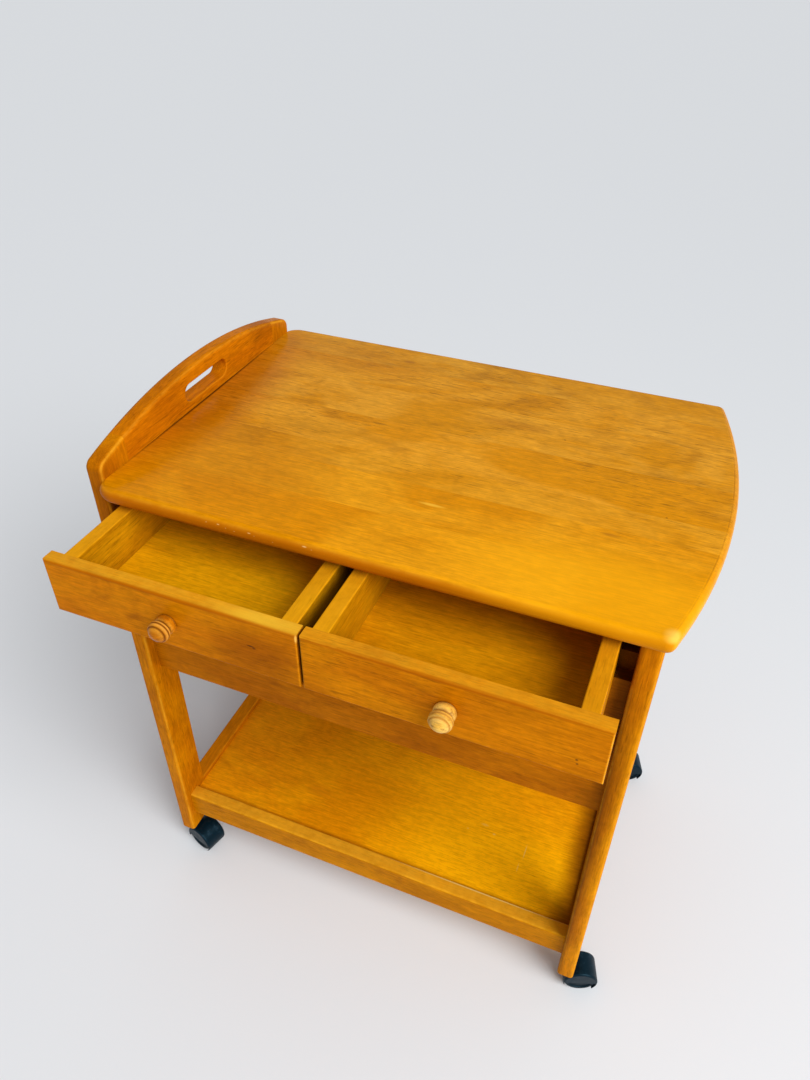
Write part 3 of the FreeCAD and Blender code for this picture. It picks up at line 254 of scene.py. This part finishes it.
def paint(t, colour, place, spots):
    """Lays spots over a colour: each is a centre, radii, a screen colour and a strength."""
    for centre, radii, spot_colour, strength in spots:
        colour = t.blend(t.times(spot(t, place, centre, radii), strength), colour, linear(spot_colour))
    return colour


def around(t, value, depth):
    """A factor that swings about 1 by a depth."""
    return t.span(value, *EVEN_SPAN, 1.0 - depth, 1.0 + depth)


def edge_share(t, sizes, profile):
    """How far the surface turns between two flat sides: 0 on a side, 1 in the middle of a rounded edge."""
    if profile is None:
        most = t.maths("MAXIMUM", t.maths("MAXIMUM", sizes[0], sizes[1]), sizes[2])
    else:
        own = sizes["XYZ".index(profile)]
        rest = t.maths("SQRT", t.maths("SUBTRACT", 1.0, t.times(own, own)))
        most = t.maths("MAXIMUM", own, rest)
    return t.span(most, *EDGE_SPAN)


def rimmed(t, colour, flat, end, rub, rim, deep, worn_and_lit):
    """Darkens a board's rounded rim as painted shade, wears its ends and draws a dark seam where the rim
    starts.
    """
    turned = t.times(t.span(flat, *RIM_SPAN), t.span(end, *END_SPAN, *END_RIM_SHARES))
    colour = t.blend(t.times(turned, rim), colour, linear(TOP_RIM_SHADE))
    ends = t.times(t.span(flat, *END_RIM_SPAN), t.span(end, *END_SPAN))
    colour = t.blend(t.times(ends, t.span(rub, *EVEN_SPAN, *END_SHARES)), colour, worn_and_lit)
    seam = t.times(t.span(flat, *SEAM_START), t.span(flat, *SEAM_STOP), t.span(end, *SEAM_ENDS))
    colour = t.blend(t.times(seam, t.span(rub, *SEAM_RUB_SPAN, *SEAM_SHARES)), colour, deep)
    return colour, turned


def wood(name, axis, tone, seed, boards=None, profile=None, roughness=0.30, shine=0.014, cloud=0.8,
         blotch=0.42, streak=0.35, fine=0.12, thread=0.07, pore=0.3, wear_and_highlight=0.4, painted_top_light=0.0, rim=0.0,
         hollow_shade=0.0, size=1.0, calm=None, washes=(), marks=()):
    """Varnished wood with its grain along one axis of the row frame.

    boards are glued side by side, profile is the axis that a board's flat sides face, calm is an axis and
    the places on it between which the figure goes from faint to full, shine is the level of reflection
    and size makes the grain finer. The other numbers but roughness are strengths.
    """
    pale, plain, deep, worn_and_lit = (linear(colour) for colour in TONES[tone])
    t = Tree(name)
    source = t.add("ShaderNodeTexCoord", {}).outputs
    place = source["Object"]
    xyz = t.split(place)
    normal = t.split(source["Normal"])
    sizes = [t.maths("ABSOLUTE", part) for part in normal]

    offset = tuple(seed * step % turn for step, turn in zip(WOOD_STEPS, WOOD_TURNS))
    grain = t.add("ShaderNodeCombineXYZ", {k: xyz[i] for k, i in enumerate(GRAIN_ORDER[axis])}).outputs[0]
    grain = t.vector("ADD", t.vector("MULTIPLY", grain, (size, size, size)), offset)
    tint = None
    if boards:
        low, high, joints, tints, across = boards
        level = t.span(xyz["XYZ".index(across)], low, high, kind="LINEAR")
        tint = t.steps(level, list(zip((0.0, *joints), tints)))
        grain = t.vector("ADD", grain, t.vector("MULTIPLY", tint, BOARD_SHIFT))
    busy = ()
    if calm:
        along, low, high = calm
        busy = (t.span(xyz["XYZ".index(along)], low, high, *CALM_SHARES),)

    clouds = t.noise(grain, *CLOUDS)
    colour = t.blend(t.times(t.span(clouds, *CLOUD_SPAN), cloud), plain, pale)
    blots = t.noise(grain, *BLOTS)
    colour = t.blend(t.times(t.span(blots, *BLOT_SPAN), blotch, *busy), colour, deep)
    patches = t.noise(grain, *PATCHES)
    lines = t.span(t.noise(grain, *LINES), *LINE_SPAN)
    lines = t.times(lines, t.span(patches, *LINE_PATCH_SPAN, *LINE_SHARES), streak, *busy)
    colour = t.blend(lines, colour, deep)
    colour = paint(t, colour, place, washes)

    fibre = t.noise(grain, *FIBRE)
    pores = t.span(t.noise(grain, *PORES), *PORE_SPAN)
    pores = t.times(pores, t.span(patches, *PORE_PATCH_SPAN, *PORE_SHARES), *busy)
    threads = t.noise(grain, *THREADS)
    mottle = t.noise(grain, *MOTTLE)
    light = t.times(around(t, fibre, fine), t.span(pores, 0.0, 1.0, 1.0, 1.0 - pore))
    light = t.times(light, around(t, threads, thread), around(t, mottle, MOTTLE_DEPTH))
    # Painted shade: the colour darkens where other surfaces lie close by.
    if hollow_shade:
        hollow = t.add("ShaderNodeAmbientOcclusion", {"Distance": HOLLOW_REACH}, samples=HOLLOW_SAMPLES)
        light = t.times(light, t.span(hollow.outputs["AO"], *HOLLOW_SPAN, 1.0 - hollow_shade, 1.0))
    grey = t.add("ShaderNodeCombineXYZ", {0: light, 1: light, 2: light}).outputs[0]
    colour = t.vector("MULTIPLY", colour, grey)
    if tint is not None:
        colour = t.vector("MULTIPLY", colour, tint)

    rub = t.noise(place, *RUB)
    rounded = edge_share(t, sizes, profile)
    facing = t.span(normal["Z"], *DOWN_SPAN, *DOWN_SHARES)
    edge = t.times(rounded, t.span(rub, *RUB_SPAN, *RUB_SHARES), facing)
    if rim:
        flat = sizes["XYZ".index(profile)]
        colour, turned = rimmed(t, colour, flat, sizes[0], rub, rim, deep, worn_and_lit)
        rounded = t.maths("MAXIMUM", rounded, turned)
    # Painted light: faces that look up turn toward the pale edge colour, broken by rubbed noise.
    if painted_top_light:
        upper = t.times(t.span(normal["Z"], *UP_SPAN), t.span(rub, *CROWN_RUB_SPAN, *CROWN_SHARES), painted_top_light)
        colour = t.blend(upper, colour, worn_and_lit)
    # Rounded edges, mostly those facing up, turn toward the pale edge colour: partly real wear, partly
    # painted highlight.
    colour = t.blend(t.times(edge, wear_and_highlight), colour, worn_and_lit)
    colour = paint(t, colour, place, marks)

    low, high = CLOUD_ROUGH
    rough = t.span(clouds, *EVEN_SPAN, roughness + low, roughness + high)
    rough = t.maths("ADD", rough, t.span(fibre, *EVEN_SPAN, *FIBRE_ROUGH))
    rough = t.maths("ADD", rough, t.times(rounded, EDGE_ROUGH))
    height = t.maths("SUBTRACT", fibre, t.times(pores, PORE_DEPTH))
    t.shade(Base_Color=colour, Roughness=rough, Normal=t.bump(height, *WOOD_BUMP))
    t.shade(Specular_IOR_Level=shine, Specular_Tint=AMBER)
    return t.material


# Plastic: how far a seed moves its noises, the noises as for wood, and where dust and scuffs come in.
PLASTIC_STEPS = (0.61, 0.37, 0.83)
SKIN = ((2600.0, 2600.0, 2600.0), 2.0, 0.5)
DUST = ((120.0, 120.0, 120.0), 5.0, 0.68)
DUST_SPAN = (0.50, 0.76)
DUST_UP_SPAN = (-0.2, 0.9)
DUST_SHARES = (0.05, 0.26)
SCUFF_SPAN = (0.46, 0.70)
SCUFF_SHARES = (0.0, 0.14)
PATCH_ROUGH = (-0.05, 0.10)
DUST_ROUGH = 0.3
PLASTIC_BUMP = (0.2, 0.0002)
PLASTIC_SHINE = 0.18


def plastic(name, dark, scuffed, roughness, seed):
    """Moulded plastic with a fine skin, faint dust and scuffs on its edges."""
    t = Tree(name)
    source = t.add("ShaderNodeTexCoord", {}).outputs
    place = t.vector("ADD", source["Object"], tuple(seed * step for step in PLASTIC_STEPS))
    normal = t.split(source["Normal"])
    sizes = [t.maths("ABSOLUTE", part) for part in normal]
    skin = t.noise(place, *SKIN)
    dust = t.noise(place, *DUST)
    amount = t.times(t.span(dust, *DUST_SPAN), t.span(normal["Z"], *DUST_UP_SPAN, *DUST_SHARES))
    colour = t.blend(amount, linear(dark), linear(scuffed))
    edge = t.times(edge_share(t, sizes, None), t.span(dust, *SCUFF_SPAN, *SCUFF_SHARES))
    colour = t.blend(edge, colour, linear(scuffed))
    low, high = PATCH_ROUGH
    rough = t.span(dust, *EVEN_SPAN, roughness + low, roughness + high)
    rough = t.maths("ADD", rough, t.times(amount, DUST_ROUGH))
    t.shade(Base_Color=colour, Roughness=rough, Normal=t.bump(skin, *PLASTIC_BUMP))
    t.shade(Specular_IOR_Level=PLASTIC_SHINE, Specular_Tint=COOL)
    return t.material


# Metal: how far a seed moves its noises, scales across and along the drawn lines with their detail and
# roughness, the stains, and how rough both make it.
METAL_STEPS = (0.43, 0.71, 0.29)
DRAWN_ACROSS = 1500.0
DRAWN_ALONG = 35.0
DRAWN = (3.0, 0.6)
STAIN = ((90.0, 90.0, 90.0), 5.0, 0.65)
STAIN_SPAN = (0.44, 0.72)
STAIN_SHARES = (0.0, 0.7)
STAIN_ROUGH_SPAN = (0.3, 0.75)
STAIN_ROUGH = 0.22
DRAWN_ROUGH = (-0.05, 0.05)
METAL_BUMP = (0.12, 0.0001)


def metal(name, bright, dull, roughness, lay, seed):
    """Plated metal with a drawn grain along one axis and dull patches."""
    t = Tree(name)
    source = t.add("ShaderNodeTexCoord", {}).outputs
    place = t.vector("ADD", source["Object"], tuple(seed * step for step in METAL_STEPS))
    scales = tuple(DRAWN_ALONG if axis == lay else DRAWN_ACROSS for axis in "XYZ")
    drawn = t.noise(place, scales, *DRAWN)
    stain = t.noise(place, *STAIN)
    colour = t.blend(t.span(stain, *STAIN_SPAN, *STAIN_SHARES), linear(bright), linear(dull))
    rough = t.span(stain, *STAIN_ROUGH_SPAN, roughness, roughness + STAIN_ROUGH)
    rough = t.maths("ADD", rough, t.span(drawn, *EVEN_SPAN, *DRAWN_ROUGH))
    t.shade(Base_Color=colour, Roughness=rough, Normal=t.bump(drawn, *METAL_BUMP), Metallic=1.0)
    return t.material


# Boards glued side by side: lowest and highest place across them, the joints as shares of that span,
# a tint for each board, which also shifts its grain, and the axis across.
TOP_BOARDS = (
    -0.17775, 0.27225, (0.165, 0.306, 0.395, 0.562, 0.728, 0.862),
    ((1.05, 1.0, 0.3), (1.03, 1.0, 0.4), (0.97, 0.97, 0.7), (1.0, 1.0, 0.9), (0.95, 0.97, 1.0),
     (0.95, 0.965, 0.9), (0.91, 0.95, 1.0)),
    "Y",
)
LEAF_BOARDS = (
    0.406, 0.686, (0.26, 0.55, 0.81),
    ((0.97, 0.98, 1.0), (1.02, 1.0, 0.9), (0.94, 0.96, 1.0), (1.0, 0.99, 0.95)),
    "Z",
)
PANEL_BOARDS = (
    0.406, 0.759, (0.24, 0.50, 0.78),
    ((0.98, 0.97, 1.0), (1.01, 1.0, 0.95), (0.97, 0.98, 1.0), (1.0, 1.0, 0.95)),
    "Z",
)

# Broad washes of colour and small marks seen in the photo: centre, radii, colour, strength.
TOP_WASHES = (
    # Painted shade: the left front of the top darker.
    ((-0.21, -0.075, 0.708), (0.17, 0.11, 0.08), (186, 114, 3), 0.55),
    # Painted reflection of the handle panel: deeper orange on the top beside it.
    ((-0.305, 0.05, 0.708), (0.09, 0.27, 0.08), (170, 88, 3), 0.8),
    ((-0.150, 0.030, 0.708), (0.090, 0.026, 0.08), (184, 122, 14), 0.45),
    ((0.068, 0.124, 0.708), (0.060, 0.014, 0.08), (170, 104, 14), 0.45),
    ((-0.20, 0.215, 0.708), (0.17, 0.06, 0.08), (186, 114, 10), 0.4),
)
TOP_MARKS = (
    # Painted light: the right front of the top paler.
    ((0.23, -0.135, 0.708), (0.20, 0.09, 0.08), (250, 176, 14), 0.5),
    ((-0.3092, 0.045, 0.708), (0.0046, 0.235, 0.02), (66, 30, 3), 0.92),
    ((0.2950, -0.1680, 0.7064), (0.012, 0.012, 0.005), (255, 206, 92), 0.6),
    ((-0.1097, 0.2314, 0.708), (0.012, 0.005, 0.004), (150, 92, 22), 0.55),
    ((-0.200, 0.0002, 0.708), (0.062, 0.0009, 0.004), (144, 84, 10), 0.6),
    ((0.2166, -0.0472, 0.708), (0.014, 0.004, 0.004), (160, 94, 14), 0.5),
    ((0.034, -0.0677, 0.708), (0.020, 0.003, 0.004), (250, 194, 60), 0.6),
    ((0.132, 0.1134, 0.708), (0.0022, 0.0016, 0.004), (104, 60, 16), 0.7),
    ((0.264, 0.0033, 0.708), (0.0018, 0.0014, 0.004), (110, 64, 16), 0.7),
    ((0.327, 0.1286, 0.702), (0.006, 0.0035, 0.005), (58, 36, 18), 0.9),
    ((-0.171, -0.1765, 0.7030), (0.0010, 0.003, 0.0007), (234, 184, 104), 0.7),
    ((-0.157, -0.1765, 0.7036), (0.0022, 0.003, 0.0007), (238, 190, 110), 0.75),
    ((-0.148, -0.1772, 0.7018), (0.0008, 0.003, 0.0008), (228, 176, 96), 0.6),
    ((-0.138, -0.1772, 0.7008), (0.0012, 0.003, 0.0006), (234, 184, 104), 0.65),
    ((-0.121, -0.1770, 0.7030), (0.0026, 0.003, 0.0007), (238, 190, 110), 0.75),
    ((-0.115, -0.1772, 0.7014), (0.0009, 0.003, 0.0006), (228, 176, 96), 0.6),
    ((-0.094, -0.1775, 0.7000), (0.0010, 0.003, 0.0009), (228, 176, 96), 0.5),
    ((-0.059, -0.1768, 0.7042), (0.0034, 0.003, 0.0008), (240, 196, 120), 0.75),
    ((-0.051, -0.1770, 0.7030), (0.0010, 0.003, 0.0006), (228, 176, 96), 0.6),
)
HANDLE_WASHES = (
    ((-0.312, 0.1973, 0.742), (0.03, 0.06, 0.03), (160, 86, 4), 0.7),
)
LEFT_FRONT_WASHES = (
    ((-0.066, -0.262, 0.636), (0.075, 0.03, 0.055), (146, 74, 4), 0.75),
)
LEFT_FRONT_MARKS = (
    ((-0.055, -0.2628, 0.686), (0.08, 0.02, 0.008), (255, 208, 60), 0.6),
    # Painted shade: a dark line just below the front's top arris.
    ((-0.164, -0.2708, 0.6810), (0.26, 0.0045, 0.004), (170, 88, 3), 0.85),
    ((-0.0212, -0.2700, 0.6770), (0.0022, 0.003, 0.007), (246, 192, 84), 0.7),
    ((-0.0718, -0.2702, 0.6496), (0.0055, 0.004, 0.0014), (70, 38, 14), 0.85),
    ((-0.068, -0.2702, 0.648), (0.0028, 0.004, 0.0022), (96, 52, 14), 0.8),
)
RIGHT_FRONT_WASHES = (
    ((0.20, -0.262, 0.645), (0.10, 0.03, 0.055), (216, 130, 4), 0.5),
)
RIGHT_FRONT_MARKS = (
    # Painted shade: a dark line just below the front's top arris.
    ((0.125, -0.2708, 0.6810), (0.26, 0.0045, 0.004), (168, 86, 3), 0.85),
    ((0.2424, -0.2702, 0.6350), (0.0019, 0.003, 0.0017), (88, 54, 18), 0.85),
    ((0.2434, -0.2702, 0.6300), (0.0017, 0.003, 0.0016), (88, 54, 18), 0.8),
)
# Painted shade on the apron between the right drawer and the right leg.
APRON_SHADE = (
    ((0.266, -0.147, 0.57), (0.024, 0.02, 0.12), (104, 52, 3), 0.85),
)
# Painted shade at the top of the left front leg.
LEFT_LEG_SHADE = (
    ((-0.32, -0.155, 0.69), (0.03, 0.04, 0.09), (150, 70, 3), 0.55),
)
# Painted shade down the right front leg's left part, and painted light on its right part.
RIGHT_LEG_LIGHT_AND_SHADE = (
    ((0.266, -0.15, 0.44), (0.027, 0.06, 0.33), (112, 54, 3), 0.72),
    ((0.266, -0.15, 0.24), (0.018, 0.06, 0.36), (108, 52, 3), 0.75),
    ((0.293, -0.16, 0.32), (0.013, 0.05, 0.50), (226, 148, 8), 0.5),
)
# A pale line on the front rail's inner top edge: partly wear, partly painted highlight.
RAIL_WEAR_AND_HIGHLIGHT = (
    ((0.14, -0.1330, 0.1266), (0.16, 0.0030, 0.0026), (255, 222, 130), 0.9),
)
# Painted light and shade on the shelf, in order: darker left part, paler middle and front right, a shadow
# band along the right end, a shaded line along the front rail.
SHELF_LIGHT_AND_SHADE = (
    ((-0.24, 0.02, 0.119), (0.21, 0.17, 0.08), (196, 113, 3), 0.52),
    ((0.07, 0.02, 0.119), (0.15, 0.08, 0.08), (252, 170, 5), 0.75),
    ((0.16, -0.09, 0.119), (0.25, 0.13, 0.08), (255, 180, 6), 0.9),
    ((0.274, 0.0, 0.119), (0.042, 0.6, 0.08), (112, 56, 3), 0.85),
    ((0.0, -0.134, 0.119), (0.7, 0.012, 0.08), (150, 80, 3), 0.6),
)
SHELF_MARKS = (
    ((0.1867, -0.0465, 0.119), (0.0010, 0.016, 0.004), (240, 196, 90), 0.7),
    ((0.1835, -0.074, 0.119), (0.0009, 0.010, 0.004), (240, 196, 90), 0.6),
    ((0.120, -0.026, 0.119), (0.008, 0.003, 0.004), (236, 184, 70), 0.6),
    ((0.137, -0.036, 0.119), (0.003, 0.002, 0.004), (240, 196, 90), 0.65),
    ((0.098, -0.041, 0.119), (0.0024, 0.0016, 0.004), (240, 196, 90), 0.6),
    ((-0.134, -0.065, 0.119), (0.03, 0.014, 0.004), (178, 92, 10), 0.35),
)
RIGHT_WALL_WASHES = (
    ((0.25, -0.15, 0.68), (0.2, 0.6, 0.2), (190, 110, 3), 0.6),
)

# Rings on the turned knobs, painted shade in the grooves and painted highlight on the beads: distance from
# the drawer front, reach along the knob, colour, strength.
KNOB_SEATS = {"left": (-0.164, -0.27025, 0.6475), "right": (0.125, -0.27025, 0.6475)}
KNOB_RING_LIGHT_AND_SHADE = {
    "left": (
        (0.0128, 0.0016, (250, 190, 84), 0.55),
        (0.0165, 0.0020, (250, 190, 84), 0.45),
        (0.0102, 0.0024, (92, 42, 4), 0.85),
        (0.0145, 0.0013, (104, 50, 5), 0.8),
        (0.0193, 0.0014, (104, 50, 5), 0.8),
    ),
    "right": (
        (0.0102, 0.0022, (156, 90, 22), 0.85),
        (0.0145, 0.0012, (176, 110, 38), 0.65),
        (0.0193, 0.0013, (176, 110, 38), 0.65),
    ),
}
RING_REACH = 0.03


def knob_ring_light_and_shade(side):
    """Painted highlight and shade marks that run round one knob."""
    x, y, z = KNOB_SEATS[side]
    return [
        ((x, y - ahead, z), (RING_REACH, reach, RING_REACH), colour, strength)
        for ahead, reach, colour, strength in KNOB_RING_LIGHT_AND_SHADE[side]
    ]


CORNERS = ("left_front", "right_front", "left_back", "right_back")
SIDES = ("left", "right")

# Every wooden node: grain axis, tone and what differs from the plain recipe.
# Hidden inner parts: rougher, with painted shade in their hollows.
HIDDEN = dict(roughness=0.45, hollow_shade=0.7)
WOODS = {
    "table_top": ("X", "top", dict(
        boards=TOP_BOARDS, profile="Z", roughness=0.19, shine=0.05, blotch=0.5, thread=0.05, pore=0.38,
        calm=("Y", -0.10, 0.03), rim=0.85, wear_and_highlight=0.2, washes=TOP_WASHES, marks=TOP_MARKS)),
    "drop_leaf": ("X", "top", dict(
        boards=LEAF_BOARDS, profile="Y", roughness=0.22, shine=0.10, rim=0.6, wear_and_highlight=0.25)),
    "handle_panel": ("Y", "handle", dict(
        boards=PANEL_BOARDS, profile="X", wear_and_highlight=0.28, washes=HANDLE_WASHES)),
    "left_front_leg": ("Z", "leg", dict(profile="X", wear_and_highlight=0.5, hollow_shade=0.5, washes=LEFT_LEG_SHADE)),
    "left_back_leg": ("Z", "leg", dict(profile="X", wear_and_highlight=0.5, hollow_shade=0.5)),
    "right_front_leg": ("Z", "leg", dict(wear_and_highlight=0.35, hollow_shade=0.7, washes=RIGHT_LEG_LIGHT_AND_SHADE)),
    "right_back_leg": ("Z", "leg", dict(wear_and_highlight=0.35, hollow_shade=0.7)),
    "right_end_panel": ("Y", "leg", dict(hollow_shade=0.5)),
    "front_apron": ("X", "apron", dict(hollow_shade=0.65, washes=APRON_SHADE)),
    "back_apron": ("X", "apron", dict(hollow_shade=0.65)),
    "left_drawer_runner": ("Y", "inner", HIDDEN),
    "centre_drawer_runner": ("Y", "inner", HIDDEN),
    "right_drawer_runner": ("Y", "inner", HIDDEN),
    "left_top_batten": ("Y", "inner", HIDDEN),
    "right_top_batten": ("Y", "inner", HIDDEN),
    "shelf_front_rail": ("X", "rail", dict(wear_and_highlight=0.6, painted_top_light=0.5, marks=RAIL_WEAR_AND_HIGHLIGHT)),
    "shelf_back_rail": ("X", "rail", dict(wear_and_highlight=0.6, painted_top_light=0.5)),
    "shelf_left_rail": ("Y", "apron", dict(painted_top_light=0.1)),
    "shelf_right_rail": ("Y", "apron", dict(painted_top_light=0.1)),
    "shelf_panel": ("X", "shelf", dict(shine=0.06, pore=0.2, washes=SHELF_LIGHT_AND_SHADE, marks=SHELF_MARKS)),
    "frame_dowels": ("X", "inner", dict(roughness=0.5)),
    "left_drawer_front": ("X", "front", dict(
        blotch=0.6, wear_and_highlight=0.15, painted_top_light=0.36, hollow_shade=0.6, washes=LEFT_FRONT_WASHES, marks=LEFT_FRONT_MARKS)),
    "right_drawer_front": ("X", "front", dict(
        wear_and_highlight=0.6, painted_top_light=0.24, hollow_shade=0.6, washes=RIGHT_FRONT_WASHES, marks=RIGHT_FRONT_MARKS)),
}
for side in SIDES:
    drawer = side + "_drawer_"
    WOODS[drawer + "left_side"] = ("Y", "box", dict(wear_and_highlight=0.6, streak=0.5, painted_top_light=0.65, hollow_shade=0.6))
    WOODS[drawer + "right_side"] = ("Y", "box", dict(wear_and_highlight=0.6, streak=0.5, painted_top_light=0.5, hollow_shade=0.6))
    WOODS[drawer + "back"] = ("X", "box", dict(wear_and_highlight=0.5, painted_top_light=0.4))
    WOODS[drawer + "bottom"] = ("X", "bottom_" + side, dict(
        roughness=0.42, streak=0.3, blotch=0.3, cloud=0.5, pore=0.14))
    WOODS[drawer + "knob"] = ("X", "knob_" + side, dict(
        profile="Y", roughness=0.15, shine=0.10, streak=0.9, size=2.2, wear_and_highlight=0.25, hollow_shade=0.5,
        marks=knob_ring_light_and_shade(side)))
WOODS["right_drawer_right_side"] = ("Y", "box", dict(
    wear_and_highlight=0.6, streak=0.5, painted_top_light=0.35, hollow_shade=0.6, washes=RIGHT_WALL_WASHES))

# The other materials: main screen colour, the worn or dull one, and roughness.
HOOD = ((5, 22, 32), (50, 76, 92), 0.36)
WHEEL = ((5, 18, 26), (60, 76, 86), 0.44)
STEEL = ((196, 198, 202), (138, 136, 132), 0.30)
STEM = ((196, 198, 202), (138, 136, 132), 0.28)
BRASS = ((214, 178, 96), (142, 108, 52), 0.26)
# Metal nodes and the axis that their drawn lines follow.
STEEL_LAYS = {
    "caster_sockets": "Z",
    "batten_screws": "Z",
    "hinge_fixed_screws": "Z",
    "hinge_leaf_screws": "Y",
    "stay_brackets": "Z",
    "stay_pins": "X",
    "bracket_screws": "Y",
    "left_stay_arm": "Z",
    "right_stay_arm": "Z",
    "left_drawer_knob_screw": "Y",
    "right_drawer_knob_screw": "Y",
}
BRASS_LAYS = {"hinge_fixed_flaps": "X", "hinge_leaf_flaps": "X", "hinge_pins": "X"}
# First seeds of the wheels and of the stems, so that they differ from the hoods and from the other steel.
WHEEL_SEED = 8
STEM_SEED = 21


def dress(node, material):
    """Gives a node one material."""
    slots = nodes[node].data.materials
    slots.clear()
    slots.append(material)


for seed, (node, (axis, tone, extras)) in enumerate(WOODS.items(), 1):
    dress(node, wood("wood_" + node, axis, tone, seed, **extras))
for seed, (node, lay) in enumerate(STEEL_LAYS.items(), 1):
    dress(node, metal("steel_" + node, *STEEL, lay, seed))
for seed, (node, lay) in enumerate(BRASS_LAYS.items(), 1):
    dress(node, metal("brass_" + node, *BRASS, lay, seed))
for index, corner in enumerate(CORNERS):
    dress(corner + "_caster_hood", plastic("hood_" + corner, *HOOD, index + 1))
    dress(corner + "_caster_wheels", plastic("wheel_" + corner, *WHEEL, index + WHEEL_SEED))
    dress(corner + "_caster_stem", metal("stem_" + corner, *STEM, "Z", index + STEM_SEED))


def aim(thing, place, target):
    """Puts a lamp at a place and turns it to a point."""
    thing.location = place
    away = Vector(place) - Vector(target)
    thing.rotation_euler = away.to_track_quat("Z", "Y").to_euler()


scene = bpy.context.scene
floor_mesh = bpy.data.meshes.new("floor")
floor_signs = ((-1, -1), (1, -1), (1, 1), (-1, 1))
floor_mesh.from_pydata([(x * FLOOR_HALF, y * FLOOR_HALF, 0.0) for x, y in floor_signs], [], [(0, 1, 2, 3)])
floor = bpy.data.objects.new("floor", floor_mesh)
scene.collection.objects.link(floor)
floor_tree = Tree("floor_pale")
floor_tree.shade(Base_Color=linear(FLOOR_SRGB), Roughness=1.0, Specular_IOR_Level=0.0)
floor_mesh.materials.append(floor_tree.material)

# The surroundings light the object at one level and show a paler one to the camera and to reflections.
world = bpy.data.worlds.new("studio")
world.use_nodes = True
sky = world.node_tree
lit = sky.nodes["Background"]
lit.inputs["Color"].default_value = linear(WORLD_SRGB)
lit.inputs["Strength"].default_value = WORLD_LEVEL
shown = sky.nodes.new("ShaderNodeBackground")
shown.inputs["Color"].default_value = linear(WORLD_SRGB)
shown.inputs["Strength"].default_value = WORLD_SHOWN
path = sky.nodes.new("ShaderNodeLightPath")
seen = path.outputs["Is Camera Ray"]
for ray in ("Is Glossy Ray", "Is Transmission Ray"):
    either = sky.nodes.new("ShaderNodeMath")
    either.operation = "MAXIMUM"
    sky.links.new(seen, either.inputs[0])
    sky.links.new(path.outputs[ray], either.inputs[1])
    seen = either.outputs[0]
choice = sky.nodes.new("ShaderNodeMixShader")
sky.links.new(seen, choice.inputs[0])
sky.links.new(lit.outputs[0], choice.inputs[1])
sky.links.new(shown.outputs[0], choice.inputs[2])
sky.links.new(choice.outputs[0], sky.nodes["World Output"].inputs["Surface"])
scene.world = world

sun_data = bpy.data.lights.new("sun", "SUN")
sun_data.energy = SUN_LEVEL
sun_data.angle = math.radians(SUN_SPREAD)
sun = bpy.data.objects.new("sun", sun_data)
scene.collection.objects.link(sun)
aim(sun, SUN_FROM, (0.0, 0.0, 0.0))

for name, place, target, width, height, watts in LAMPS:
    data = bpy.data.lights.new(name, "AREA")
    data.shape = "RECTANGLE"
    data.size = width
    data.size_y = height
    data.energy = watts
    lamp = bpy.data.objects.new(name, data)
    scene.collection.objects.link(lamp)
    aim(lamp, place, target)

camera_data = bpy.data.cameras.new("camera")
camera_data.lens = CAMERA_LENS
camera_data.sensor_width = CAMERA_SENSOR
camera_data.sensor_fit = "AUTO"
camera_data.clip_start = CAMERA_NEAR
camera = bpy.data.objects.new("camera", camera_data)
scene.collection.objects.link(camera)
ahead = Vector(CAMERA_AHEAD).normalized()
right = (Vector(CAMERA_RIGHT) - ahead * ahead.dot(Vector(CAMERA_RIGHT))).normalized()
above = right.cross(ahead)
turn = Matrix((right, above, -ahead)).transposed().to_4x4()
camera.matrix_world = Matrix.Translation(Vector(CAMERA_PLACE)) @ turn
scene.camera = camera
scene.view_settings.view_transform = "Standard"
